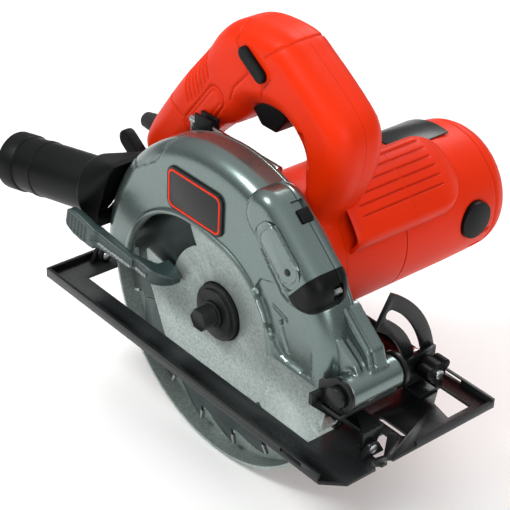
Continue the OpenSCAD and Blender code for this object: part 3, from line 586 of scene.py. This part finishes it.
def near_joint(co):
    across = math.hypot(co.x - motor.x, co.z - motor.z) / MM - BARREL
    return abs(across) < 9 and loop_y[0] - 8 < co.y / MM < loop_y[1] + 9


smooth(shell, 45, near_joint)
print("handle skin:", len(shell.data.polygons), "faces")


# %% [markdown]
# ## Grooves, panel lines and recesses
# A mould line is a real step in the surface, so it is carved: each vertex close to a
# line drawn in the side view sinks along its own normal. The rear grip has seven grooves
# that wrap over its back, a long rounded panel on each side, and lines where the soft
# grip meets the hard shell.

# %% Carving
def carve(obj, depth):
    """Moves each vertex inwards along its normal by depth(points) in millimetres."""
    points, normals = get_points(obj.data), get_normals(obj.data)
    set_points(obj.data, points - normals * depth(points, normals)[:, None])


def notch(gap, width, depth):
    """A rounded groove of full depth at gap 0 that ends at gap = width / 2."""
    t = np.clip(1 - (2 * gap / width) ** 2, 0, 1)
    return depth * np.sqrt(t) * np.minimum(1, 3 * t)


def rounded_box(u, v, half_u, half_v, radius):
    """Signed distance to a rectangle with round corners, negative inside."""
    du, dv = np.abs(u) - half_u + radius, np.abs(v) - half_v + radius
    return np.hypot(np.maximum(du, 0), np.maximum(dv, 0)) \
        + np.minimum(np.maximum(du, dv), 0) - radius


# %% Lines on the handle, in the side view
GRIP_LINES = [
    [(-31, 200), (-31.5, 189), (-27, 183), (-20, 172), (-33, 157.5), (-36, 148)],
    [(-6, 187.5), (2, 195), (14, 204.5), (22, 207)],
    [(-0.5, 175.5), (-7, 166), (-9, 160)],
    [(-97, 126), (-90, 123), (-78.5, 118), (-74, 108)],
]
GROOVES, GROOVE_STEP = 7, 4.3


def handle_depth(points, normals):
    side = points[:, [0, 2]]
    flank = np.abs(normals[:, 1]) > 0.2
    depth = np.zeros(len(points))
    for line in GRIP_LINES:
        gap, _ = nearest(side, line, closed=False)
        depth = np.maximum(depth, np.where(flank | (points[:, 2] > 190),
                                           notch(gap, 1.9, 0.7), 0))
    # grooves that wrap over the back of the grip
    along = 0.94 * side[:, 0] + 0.35 * side[:, 1]
    outward = -0.78 * side[:, 0] + 0.62 * side[:, 1]
    edge = np.clip((outward - 136 - 0.12 * (along + 12) ** 2 / 10) / 3, 0, 1)
    for i in range(GROOVES):
        gap = np.abs(along - 1 + GROOVE_STEP * i)
        depth = np.maximum(depth, edge * notch(gap, 2.4, 0.9))
    # a long panel with a double border on each flank
    u = 0.61 * side[:, 0] + 0.79 * side[:, 1] - 66
    v = 0.79 * side[:, 0] - 0.61 * side[:, 1] + 127
    ring = rounded_box(u, v, 25, 7.6, 7)
    panel = np.maximum(notch(np.abs(ring), 2.0, 0.8), notch(np.abs(ring + 2.8), 1.6, 0.5))
    depth = np.maximum(depth, np.where(flank, panel, 0))
    # an oval dent in the front strut
    dent = rounded_box((side[:, 0] - 29) * 0.96 + (side[:, 1] - 142) * 0.28,
                       (side[:, 1] - 142) * 0.96 - (side[:, 0] - 29) * 0.28, 5, 12, 5)
    return np.maximum(depth, np.where(flank, 2.2 * np.clip(-dent / 2.5, 0, 1), 0))


carve(shell, handle_depth)


# %% [markdown]
# ## Two halves
# The skin is cut along the seam and each half is closed there with a flat face, so it is
# a solid outside form. The hollow, and the openings for the trigger and the lock-off
# button, are only in the frame's own shells.

# %% Split along the seam, with a fine gap between the halves
def cut_half(source, name, keep_high, gap):
    bm = bmesh.new()
    bm.from_mesh(source.data)
    sign = 1 if keep_high else -1
    plane_y = (SEAM_Y + sign * gap) * MM
    cut = bmesh.ops.bisect_plane(bm, geom=bm.verts[:] + bm.edges[:] + bm.faces[:],
                                 plane_co=(0, plane_y, 0), plane_no=(0, sign, 0),
                                 clear_inner=True)
    rim = [e for e in cut["geom_cut"] if isinstance(e, bmesh.types.BMEdge)]
    bmesh.ops.triangle_fill(bm, edges=rim, use_beauty=True)
    return to_object(bm, name)


for node, high in (("handle_shell_left", False), ("handle_shell_right", True)):
    half = cut_half(shell, node + "_skin", high, 0.12)
    finish_piece(half, node, orange_nylon)
    print(node, len(half.data.polygons), "faces")
bpy.data.objects.remove(shell)


# %% [markdown]
# ## The end of the motor housing
# Behind the seam the barrel carries on to the brushes and closes in a rounded cap. A
# grid is wrapped round the motor's axis, and each of its rows takes the radius that the
# barrel has there. That keeps the faces even from one end to the other, and lets the
# cap's steps, its taper and the cooling slots be plain functions of place.

# %% Radius of the barrel along the motor's axis
END_Y = motor_high.y / MM
CAP_ROUND = 15
STEP_Y, STEP_WIDTH = END_Y - 15, 2.2


def cap_radius(y, angle):
    """Radius at y: straight, then tapered, then a round into the flat end."""
    taper = 5.5 * np.clip((y - (END_Y - 52)) / 52, 0, 1) ** 1.6
    taper = taper * (0.55 + 0.45 * np.sin(angle))
    into = np.clip((y - (END_Y - CAP_ROUND)) / CAP_ROUND, 0, 1)
    return BARREL - taper - CAP_ROUND * 0.75 * (1 - np.sqrt(np.maximum(1 - into ** 2, 0)))


def wrap(name, y_rows, columns, radius):
    """A grid wrapped round the motor's axis, with both end rims closed by flat fills."""
    bm = bmesh.new()
    bmesh.ops.create_grid(bm, x_segments=columns, y_segments=len(y_rows) - 1, size=1)
    for v in bm.verts:
        row = round((v.co.y + 1) / 2 * (len(y_rows) - 1))
        angle = (v.co.x + 1) * math.pi
        y = y_rows[row]
        r = float(radius(y, angle))
        v.co = (motor.x + r * math.cos(angle) * MM, y * MM,
                motor.z + r * math.sin(angle) * MM)
    bmesh.ops.remove_doubles(bm, verts=bm.verts, dist=0.01 * MM)
    ends = [e for e in bm.edges if e.is_boundary]
    rims = [[e for e in ends if abs(e.verts[0].co.y / MM - y) < 0.01]
            for y in (y_rows[0], y_rows[-1])]
    for rim in rims:
        bmesh.ops.triangle_fill(bm, edges=rim, use_beauty=True)
    bmesh.ops.recalc_face_normals(bm, faces=bm.faces)
    return to_object(bm, name)


rows = np.concatenate([np.arange(SEAM_ACROSS + 0.12, END_Y - CAP_ROUND, 0.9),
                       END_Y - CAP_ROUND * (1 - np.sin(np.linspace(0, 1.35, 22)))])
rows = np.append(rows, END_Y - 0.2)
housing = wrap("motor_end_housing_skin", rows, 330, cap_radius)
brush_low, brush_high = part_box("brush_caps")
BRUSH_Y = (brush_low.y + brush_high.y) / 2 / MM
BRUSH_R = (brush_high.y - brush_low.y) / 2 / MM


def housing_depth(points, normals):
    x, y, z = points[:, 0] - motor.x / MM, points[:, 1], points[:, 2] - motor.z / MM
    angle = np.degrees(np.arctan2(z, x))
    side = np.abs(normals[:, 1]) < 0.9
    # a shallow step round the end and the seats of the brush caps
    depth = np.where(side, notch(np.abs(y - STEP_Y), STEP_WIDTH, 0.7), 0)
    for sign in (-1, 1):
        gap = np.hypot(y - BRUSH_Y, z) - BRUSH_R
        depth = np.where((x * sign > 0) & (gap < 1.2),
                         np.maximum(depth, np.clip((1.2 - gap) / 1.2, 0, 1) * 1.2), depth)
    # cooling slots in the lower half of the end
    turn = np.abs((angle + 9) % 18 - 9) * BARREL * math.pi / 180
    slot = np.maximum(turn - 2.0, np.abs(y - (END_Y - 24)) - 5)
    low = (angle < -15) & (angle > -165)
    return np.where(low & side, np.maximum(depth, 3.0 * np.clip(-slot / 0.8, 0, 1)), depth)


carve(housing, housing_depth)


# %% [markdown]
# ## The forward grip
# The second hand rests on a ribbed scoop over the motor. It is open towards the blade,
# where it draws in cooling air, and slopes down to the barrel at its other end. One grid
# follows its outer skin, and a Solidify modifier gives that skin its wall.

# %% Scoop
GRIP_LOW, GRIP_HIGH = 17.0, 85.0
GRIP_Y0, GRIP_Y1 = SEAM_Y + 2.5, SEAM_Y + 103
GRIP_RISE, GRIP_WALL = 13.2, 2.6
RIB_ANGLES = [40 + 6.4 * k for k in range(6)]


def scoop(name, y0, y1):
    columns, across = int((y1 - y0) / 0.8), 96
    bm = bmesh.new()
    bmesh.ops.create_grid(bm, x_segments=across, y_segments=columns, size=1)
    for v in bm.verts:
        turn, y = (v.co.x + 1) / 2, y0 + (v.co.y + 1) / 2 * (y1 - y0)
        narrow = max(0, (y - (GRIP_Y1 - 26)) / 26) ** 2
        low, high = GRIP_LOW + 24 * narrow, GRIP_HIGH - 12 * narrow
        angle = math.radians(low + turn * (high - low))
        bulge = min(1, math.sin(math.pi * turn) * 2.1) if turn not in (0, 1) else 0
        bulge = math.sin(bulge * math.pi / 2) ** 0.8 if bulge > 0 else 0
        back = max(0, (y - (GRIP_Y1 - 30)) / 30)
        front = max(0, 1 - (y - GRIP_Y0) / 7)
        rise = GRIP_RISE * bulge * (1 - back ** 2.2) - 1.8 * front ** 2 * bulge
        rib = 0
        for place in RIB_ANGLES:
            near = abs(angle - math.radians(place)) * (BARREL + GRIP_RISE)
            rib = max(rib, 1 - near / 1.1)
        ends = min(1, max(0, (y - GRIP_Y0 - 7) / 3), max(0, (GRIP_Y1 - 22 - y) / 3))
        r = BARREL - 1.2 + rise - 0.8 * min(1, rib * 1.5) * ends
        v.co = (motor.x + r * math.cos(angle) * MM, y * MM,
                motor.z + r * math.sin(angle) * MM)
    bmesh.ops.recalc_face_normals(bm, faces=bm.faces)
    probe = max(bm.faces, key=lambda f: f.calc_center_median().z)
    if probe.normal.z < 0:
        bmesh.ops.reverse_faces(bm, faces=bm.faces)
    obj = to_object(bm, name)
    wall = obj.modifiers.new("wall", "SOLIDIFY")
    wall.thickness = GRIP_WALL * MM
    wall.offset = -1
    return settle(obj)


front_scoop = scoop("front_scoop", GRIP_Y0, SEAM_ACROSS - 0.12)
rear_scoop = scoop("rear_scoop", SEAM_ACROSS + 0.12, GRIP_Y1)
finish_piece(join([housing, rear_scoop], "motor_end_housing_skin"), "motor_end_housing",
             orange_nylon)
right_half = bpy.data.objects["handle_shell_right_skin"]
bm = bmesh.new()
bm.from_mesh(right_half.data)
bm.from_mesh(front_scoop.data)
bm.to_mesh(right_half.data)
bm.free()
bpy.data.objects.remove(front_scoop)
right_half.data.shade_smooth()
right_half.data.set_sharp_from_angle(angle=math.radians(38))

# %% [markdown]
# ## The upper guard
# The guard is a casting that runs around the arbor, so its skin is a grid in polar steps:
# each column is one angle, and each row one station of the wall's section. The section
# starts with a raised lip along the arch, crosses the flat face, turns over a wide round
# shoulder and ends at the back plate. Every column's ends lie on the level lower edge.

# %% Grid around the arbor
AXIS = np.array((arbor.x, arbor.z)) / MM
GUARD_R = upper_r / MM
SHOULDER = 13.0
FACE = face_y / MM
BACK = 11.5
LOW_EDGE = 4.0
GUARD_WALL = 2.2
ARCH = ((-18.0, -6.0, 63.0), (2.0, 0.0, 54.0))
COLUMNS = 400


def polar(radius, degrees):
    a = math.radians(degrees)
    return np.array((radius * math.cos(a), radius * math.sin(a)))


def angle_at(u, radius):
    """Angle of each column at a radius, so that the columns end on the level edge."""
    end = np.arcsin(LOW_EDGE / radius)
    return (math.pi - end) * (1 - u) + end * u


def arch_radius(angle):
    """Distance from the arbor to the arch along each angle."""
    way = np.stack([np.cos(angle), np.sin(angle)], axis=-1)
    found = np.zeros(len(angle))
    for t in np.linspace(0, 1, 41):
        x, z, radius = (a * (1 - t) + b * t for a, b in zip(*ARCH))
        along = way @ np.array((x, z))
        found = np.maximum(found, along + np.sqrt(radius ** 2 - x * x - z * z + along ** 2))
    return found


u = np.linspace(0, 1, COLUMNS)
arch = np.full(COLUMNS, 60.0)
for _ in range(5):
    arch = arch_radius(angle_at(u, arch))
lip = [(0, -8.5), (0, -12.2), (0.4, -13.1), (1.2, -13.7), (2.3, -13.8), (3.2, -13.4),
       (3.9, -12.5), (4.7, FACE)]
rows = [(arch + out, np.full(COLUMNS, y)) for out, y in lip]
inner_edge, outer_edge = arch + 5.5, GUARD_R - SHOULDER
rows += [(inner_edge + (outer_edge - inner_edge) * t, np.full(COLUMNS, FACE))
         for t in np.linspace(0, 1, 44)]
rows += [(np.full(COLUMNS, outer_edge + SHOULDER * math.sin(a)),
          np.full(COLUMNS, FACE + SHOULDER * (1 - math.cos(a))))
         for a in np.linspace(0, math.pi / 2, 17)[1:]]
rows += [(np.full(COLUMNS, r), np.full(COLUMNS, y))
         for r, y in ((GUARD_R, 4.5), (GUARD_R, 8), (GUARD_R, 10.9), (GUARD_R - 0.5, BACK))]


def grid_surface(rows, name):
    """A sheet from rows of (radius, y), each with one value per column."""
    bm = bmesh.new()
    lines = []
    for radius, y in rows:
        angle = angle_at(u, radius)
        lines.append([bm.verts.new((r * math.cos(a) * MM, v * MM,
                                    (AXIS[1] + r * math.sin(a)) * MM))
                      for r, a, v in zip(radius, angle, y)])
    for low, high in zip(lines, lines[1:]):
        for i in range(COLUMNS - 1):
            bm.faces.new((low[i], low[i + 1], high[i + 1], high[i]))
    return to_object(bm, name)


guard = grid_surface(rows, "upper_guard_skin")

# %% [markdown]
# ## Lines cast into the guard
# A pocket with an arrow for the blade's turning sense is sunk into the face near the
# front. Two seams show where the rear cover and the laser's housing meet the casting.

# %% Pocket, arrow and seams
POCKET_EDGE = [(41.4, 71.3), (50.4, 58.7), (56.5, 47.8), (60.5, 41), (66, 36.8),
               (72, 35.6), (83, 35.4)]
POCKET = POCKET_EDGE + [(94, 36), (92, 60), (78, 78), (60, 84), (46, 80)]
ARROW = [[(57.5, 66.8), (69.6, 63.8)], [(69.6, 63.8), (64.6, 59)],
         [(64.6, 59), (66.2, 53.6), (72.0, 43.2)]]
SEAMS = [[(-37, 137), (-42.9, 132.2), (-47.6, 125.1), (-51.5, 115.5), (-55.6, 111.5),
          (-70.5, 101.9), (-73.9, 99.2), (-81.6, 102.2), (-92, 108)],
         [(46, 100), (54.6, 90.3), (60.3, 84.3), (66, 79), (71.4, 77.2), (80.7, 77.6),
          (88, 79.6), (92.5, 82), (99, 86)]]


def inside(points, outline):
    found = np.zeros(len(points), bool)
    for (ax, az), (bx, bz) in zip(outline, outline[1:] + outline[:1]):
        crosses = (az > points[:, 1]) != (bz > points[:, 1])
        slope = (bx - ax) * (points[:, 1] - az) / ((bz - az) or 1e-9) + ax
        found ^= crosses & (points[:, 0] < slope)
    return found


def guard_depth(points, normals):
    side = points[:, [0, 2]]
    front = points[:, 1] < 4
    depth = np.zeros(len(points))
    edge_gap, _ = nearest(side, POCKET_EDGE, closed=False)
    sunk = 1.5 * np.clip(edge_gap / 1.1, 0, 1) * np.clip(1 - (edge_gap - 3) / 20, 0, 1)
    depth = np.where(front & inside(side, POCKET), sunk, 0)
    for line in ARROW:
        gap, _ = nearest(side, line, closed=False)
        depth += np.where(front, notch(gap, 3.2, 0.8), 0)
    for line in SEAMS:
        gap, _ = nearest(side, line, closed=False)
        depth = np.maximum(depth, np.where(front, notch(gap, 1.9, 0.9), 0))
    return depth


carve(guard, guard_depth)
wall = guard.modifiers.new("wall", "SOLIDIFY")
wall.thickness = GUARD_WALL * MM
wall.offset = -1
settle(guard)

# %% [markdown]
# ## Hinge arm and boss
# At the front the casting reaches down as a ribbed arm to the boss of the depth hinge.
# Two slabs of different height give the arm its step, and one even skin fuses them.

# %% Arm with its two ribs
boss_low, boss_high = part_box("depth_pivot_pin")
HINGE = ((boss_low.x + boss_high.x) / 2 / MM, (boss_low.z + boss_high.z) / 2 / MM)
BOSS_Y = (FACE, 27.0)


def hull_line(circles, steps=96):
    """The outline around a set of circles, each given as x, z and radius."""
    line = []
    for a in np.arange(steps) / steps * 2 * math.pi:
        way = np.array((math.cos(a), math.sin(a)))
        x, z, radius = max(circles, key=lambda c: c[0] * way[0] + c[1] * way[1] + c[2])
        line.append(np.array((x, z)) + radius * way)
    return np.array(line)


def circle_line(x, z, radius, steps=72):
    return hull_line([(x, z, radius)], steps)


foot = [(HINGE[0], HINGE[1], 8.0), (HINGE[0] - 16, HINGE[1] - 4, 3.0)]
arm = join([
    slab([hull_line(foot + [(HINGE[0] - 4, HINGE[1] + 12, 4.5),
                            (HINGE[0] - 17, HINGE[1] + 21, 4.0)])], -4, 6, "front rib"),
    slab([hull_line(foot + [(HINGE[0] - 4, HINGE[1] + 18, 5.0),
                            (HINGE[0] - 24, HINGE[1] + 33, 6.0)])], 4.6, 18, "back rib"),
    slab([circle_line(*HINGE, 10.0)], *BOSS_Y, "boss")], "arm")
remesh(arm, 0.75)
smooth(arm, 5)


def arm_depth(points, normals):
    outward = points[:, [0, 2]] - AXIS
    outward /= np.linalg.norm(outward, axis=1)[:, None]
    facing = np.clip((np.sum(outward * normals[:, [0, 2]], axis=1) - 0.3) / 0.3, 0, 1)
    along = np.clip((points[:, 2] - HINGE[1] - 10) / 3, 0, 1)
    across = notch(np.abs(points[:, 1] - 2.2), 4.4, 1.7)
    across = np.maximum(across, notch(np.abs(points[:, 1] - 8.6), 2.4, 1.3))
    return facing * along * across


carve(arm, arm_depth)


def open_inside_guard(obj, skin=0.9):
    """Drops what would lie under the guard's skin, where the lower guard turns."""
    bm = bmesh.new()
    bm.from_mesh(obj.data)
    hidden = []
    for v in bm.verts:
        radius = math.hypot(v.co.x / MM, v.co.z / MM - AXIS[1])
        y = v.co.y / MM
        reach = math.hypot(max(radius - GUARD_R + SHOULDER, 0), min(y - FACE - SHOULDER, 0))
        if reach < SHOULDER - skin and radius < GUARD_R - skin and y < BACK + 1.2:
            hidden.append(v)
    bmesh.ops.delete(bm, geom=hidden, context="VERTS")
    bm.to_mesh(obj.data)
    bm.free()


open_inside_guard(arm)
guard = join([guard, arm], "upper_guard_skin")
finish_piece(guard, "upper_guard", grey_lacquer, crease=34)
print("guard", len(guard.data.polygons), "faces")

# %% [markdown]
# ## The laser pod
# The pod is a capsule seen from the side, with a heavy round on its front edge, a raised
# rim around its cover and a black nose that holds the lens. It is moulded in one skin and
# cut where the grey housing ends, so that housing and nose stay flush.

# %% Capsule with its rim
OUT = polar(1, 50)
ALONG = np.array((-OUT[1], OUT[0]))
POD = AXIS + (GUARD_R - 7) * OUT
POD_R, POD_HALF, POD_Y = 16.0, 23.0, (-18.0, 11.0)
NOSE_CUT = 1.0 - POD_HALF
ends = [(*(POD + side * POD_HALF * ALONG), POD_R) for side in (-1, 1)]
pod_line = hull_line(ends)
pod = slab([pod_line], *POD_Y, "pod")
remesh(pod, 0.6)
round_over(pod, [pod_line], *POD_Y, 9)
smooth(pod, 3)
lens = centre("laser_lens")


def pod_depth(points, normals):
    place = points[:, [0, 2]] - POD
    a, b = place @ OUT, place @ ALONG
    front = points[:, 1] < -9
    rim = rounded_box(a + 0.6, b, 8.4, 16.5, 6)
    depth = np.where(front, 1.7 * np.clip(-(rim + 0.6) / 0.8, 0, 1), 0)
    depth = np.maximum(depth, np.where(front, notch(np.abs(rim - 2.6), 2.8, 2.0), 0))
    depth = np.maximum(depth, np.where(~front, notch(np.abs(points[:, 1] - 1.5), 1.8, 0.9), 0))
    slot = rounded_box(points[:, 1], b - 15, 4.5, 7.2, 1)
    depth = np.maximum(depth, np.where((a > 10) & (slot < 0), 2.3, 0))
    eye = np.hypot(points[:, 0] - lens.x / MM, points[:, 2] - lens.z / MM)
    return np.maximum(depth, np.where((b < -30) & (eye < 4.5)
                                      & (np.abs(points[:, 1] + 1) < 3.4), 2.2, 0))


carve(pod, pod_depth)
open_inside_guard(pod)


def cut_along(source, name, keep_nose):
    bm = bmesh.new()
    bm.from_mesh(source.data)
    sign = -1 if keep_nose else 1
    at = POD + (NOSE_CUT + sign * 0.12) * ALONG
    bmesh.ops.bisect_plane(bm, geom=bm.verts[:] + bm.edges[:] + bm.faces[:],
                           plane_co=(at[0] * MM, 0, at[1] * MM), clear_inner=True,
                           plane_no=(sign * ALONG[0], 0, sign * ALONG[1]))
    return to_object(bm, name)


finish_piece(cut_along(pod, "laser_housing_skin", False), "laser_housing", grey_lacquer)
finish_piece(cut_along(pod, "laser_module_skin", True), "laser_module", black_nylon)
bpy.data.objects.remove(pod)

# %% [markdown]
# ## The badge
# A thin black plate with a coloured border, both with rounded corners. The border is a
# separate raised strip, as it is on a printed and embossed plate.

# %% Badge plate and its border
badge_low, badge_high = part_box("badge_plate")
badge_x, badge_z = centre("badge_plate").x / MM, centre("badge_plate").z / MM
badge_half = ((badge_high.x - badge_low.x) / 2 / MM, (badge_high.z - badge_low.z) / 2 / MM)


def rounded_line(inset, corner):
    w, h = badge_half[0] - inset - corner, badge_half[1] - inset - corner
    return hull_line([(badge_x + i * w, badge_z + j * h, corner)
                      for i in (-1, 1) for j in (-1, 1)])


def eased_slab(lines, y0, y1, name, width):
    flat = slab(lines, y0, y1, name)
    bm = bmesh.new()
    bm.from_mesh(flat.data)
    bpy.data.objects.remove(flat)
    ease_edges(bm, width * MM, 40, 2)
    return to_object(bm, name)


plate_y = badge_low.y / MM
finish_piece(eased_slab([rounded_line(0, 6)], plate_y, FACE + 0.1, "badge_skin", 0.5),
             "badge_plate", label_film)
border = eased_slab([rounded_line(1.7, 4.6), rounded_line(3.0, 3.4)[::-1]],
                    plate_y - 0.25, plate_y + 0.3, "badge_border", 0.1)
finish_piece(border, "badge_plate", orange_nylon,
             body=frame["nodes"]["badge_plate"]["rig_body"])

# %% [markdown]
# ## The lower guard's lever
# The lever is a beam with raised edges and a thumb pad with ribs across it.

# %% Lever with its web and ribs
LEVER_ANGLE = 168
lever = remesh(to_object(copy_of("guard_lever"), "guard_lever_skin"), 0.6)
points = get_points(lever.data)
reach = (points[:, [0, 2]] - AXIS) @ polar(1, LEVER_ANGLE)
across = (points[:, [0, 2]] - AXIS) @ polar(1, LEVER_ANGLE + 90)
slim = across * (1 - np.interp(reach, [34, 37, 42, 52, 70, 92, 104, 111, 116, 119],
                               [0.3, 0.5, 0.64, 0.66, 0.76, 0.86, 1, 0.96, 0.8, 0.5]))
points[:, [0, 2]] -= slim[:, None] * polar(1, LEVER_ANGLE + 90)
points[:, 1] += 0.65 * np.clip((46 - reach) / 12, 0, 1) ** 1.6 * (-7 - points[:, 1])
set_points(lever.data, points)
smooth(lever, 12)


def lever_depth(points, normals):
    place = points[:, [0, 2]] - AXIS
    r, t = place @ polar(1, LEVER_ANGLE), place @ polar(1, LEVER_ANGLE + 90)
    facing = np.clip((-normals[:, 1] - 0.3) / 0.3, 0, 1)
    web = 1.5 * np.clip((3.1 - np.abs(t)) / 0.9, 0, 1) * np.clip((r - 46) / 3, 0, 1) \
        * np.clip((94 - r) / 3, 0, 1)
    pad = np.where(r > 97, notch(np.abs((r - 97) % 3.3 - 1.65), 2.6, 0.9), 0) \
        * np.clip((6.2 - np.abs(t - 1)) / 0.8, 0, 1)
    return facing * np.maximum(web, pad)


carve(lever, lever_depth)
finish_piece(lever, "guard_lever", lever_nylon)

# %% [markdown]
# ## The dust outlet
# The outlet is a turned tube, so its wall's section is spun about the bore's axis. A
# raised band and a thicker collar at the end hold the hose.

# %% Spun tube
outlet = mounts["dust_outlet"]
TUBE_R, TUBE_LONG = 18.5, outlet["dims"]["length_mm"]
BORE = outlet["dims"]["r_mm"]
section = [(BORE, 0.5), (BORE, TUBE_LONG - 1), (BORE + 0.4, TUBE_LONG),
           (TUBE_R + 0.3, TUBE_LONG), (TUBE_R + 1, TUBE_LONG - 0.8),
           (TUBE_R + 1, TUBE_LONG - 13), (TUBE_R + 0.5, TUBE_LONG - 14),
           (TUBE_R, TUBE_LONG - 14.4), (TUBE_R, TUBE_LONG - 27),
           (TUBE_R + 0.5, TUBE_LONG - 27.5), (TUBE_R + 0.5, TUBE_LONG - 30.5),
           (TUBE_R, TUBE_LONG - 31), (TUBE_R, 0.5)]
bm = bmesh.new()
ring = [bm.verts.new((r * MM, 0, s * MM)) for r, s in section]
edges = [bm.edges.new(pair) for pair in zip(ring, ring[1:] + ring[:1])]
bmesh.ops.spin(bm, geom=ring + edges, cent=(0, 0, 0), axis=(0, 0, 1), dvec=(0, 0, 0),
               angle=2 * math.pi, steps=112, use_merge=True, use_duplicate=False)
bmesh.ops.recalc_face_normals(bm, faces=bm.faces)
way = Vector(outlet["axis"])
root = Vector(outlet["pos_m"]) - way * TUBE_LONG / 2 * MM
bmesh.ops.transform(bm, verts=bm.verts,
                    matrix=Matrix.Translation(root) @ way.to_track_quat("Z", "Y")
                    .to_matrix().to_4x4())
finish_piece(to_object(bm, "dust_port_skin"), "dust_port", black_nylon, crease=30)

# %% [markdown]
# ## The blade
# The blade is ground flat and keeps the frame's outline. Each tooth gets a small carbide
# tip brazed into its leading edge, wider than the body so that it clears the cut.

# %% Blade with carbide tips
eased("saw_blade", blade_steel, 0.2)
TIP_R, TEETH = blade_r / MM, 18
TIP_SIZE = (6.4, 2.4, 2.0)
TIP_INSET, TIP_DROP = 3.3, 1.1
tips = bmesh.new()
for i in range(TEETH):
    made = bmesh.ops.create_cube(tips, size=1)["verts"]
    bmesh.ops.scale(tips, vec=Vector(TIP_SIZE) * MM, verts=made)
    for v in made:
        v.co.z += (0.25 if v.co.x > 0 else -0.3) * MM
    a = math.radians(i * 360 / TEETH)
    bmesh.ops.translate(tips, verts=made, vec=((TIP_R - TIP_INSET) * MM, 0, -TIP_DROP * MM))
    bmesh.ops.rotate(tips, verts=made, cent=(0, 0, 0), matrix=Matrix.Rotation(-a, 3, "Y"))
bmesh.ops.translate(tips, verts=tips.verts, vec=(arbor.x, centre("saw_blade").y, arbor.z))
ease_edges(tips, 0.15 * MM)
finish_piece(to_object(tips, "carbide_tips"), "saw_blade", carbide,
             body=frame["nodes"]["saw_blade"]["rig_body"])

# %% [markdown]
# ## Floor and light
# The saw is shown on a plain pale floor in soft studio light: a broad lamp high on the
# left, a weaker one on the right and one behind, so that every edge has a gradient.

# %% Floor
low = Vector(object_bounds()[0])
bm = bmesh.new()
bmesh.ops.create_grid(bm, x_segments=1, y_segments=1, size=6.0)
bmesh.ops.translate(bm, verts=bm.verts, vec=(0, 0, low.z - 0.2 * MM))
floor = to_object(bm, "floor")
pale = surface("pale matt floor", "F4F4F3", "FFFFFF", (0.7, 0.8), cloud_mm=300,
               grain_mm=4, grain_height=0.01, dark=0.98, wear=0.0)
floor.data.materials.append(pale)


# %% Lights
def lamp(name, at, size, power, aim=(0, 0.05, 0.06)):
    light = bpy.data.lights.new(name, "AREA")
    light.shape = "DISK"
    light.size = size
    light.energy = power
    obj = bpy.data.objects.new(name, light)
    way = Vector(aim) - Vector(at)
    facing = way.to_track_quat("-Z", "Y").to_matrix().to_4x4()
    obj.matrix_world = Matrix.Translation(at) @ facing
    bpy.context.scene.collection.objects.link(obj)


lamp("key", (-0.5, -1.1, 1.5), 0.6, 22)
lamp("fill", (1.5, -0.6, 0.9), 1.1, 11)
lamp("rim", (-0.6, 1.3, 1.2), 0.8, 12)
world = bpy.data.worlds.new("studio")
world.use_nodes = True
world.node_tree.nodes["Background"].inputs["Color"].default_value = (1, 1, 1, 1)
# the room is bright overhead and dim at the sides, which gives metal its dark bands
height = add(world.node_tree, "SeparateXYZ", {
    "Vector": add(world.node_tree, "TexCoord").outputs["Generated"]}).outputs["Z"]
glow = add(world.node_tree, "MapRange", {"Value": height},
           {"From Min": 0.0, "From Max": 0.8, "To Min": 0.1, "To Max": 0.95})
world.node_tree.links.new(glow.outputs["Result"],
                          world.node_tree.nodes["Background"].inputs["Strength"])
bpy.context.scene.world = world
bpy.context.scene.view_settings.view_transform = "Standard"
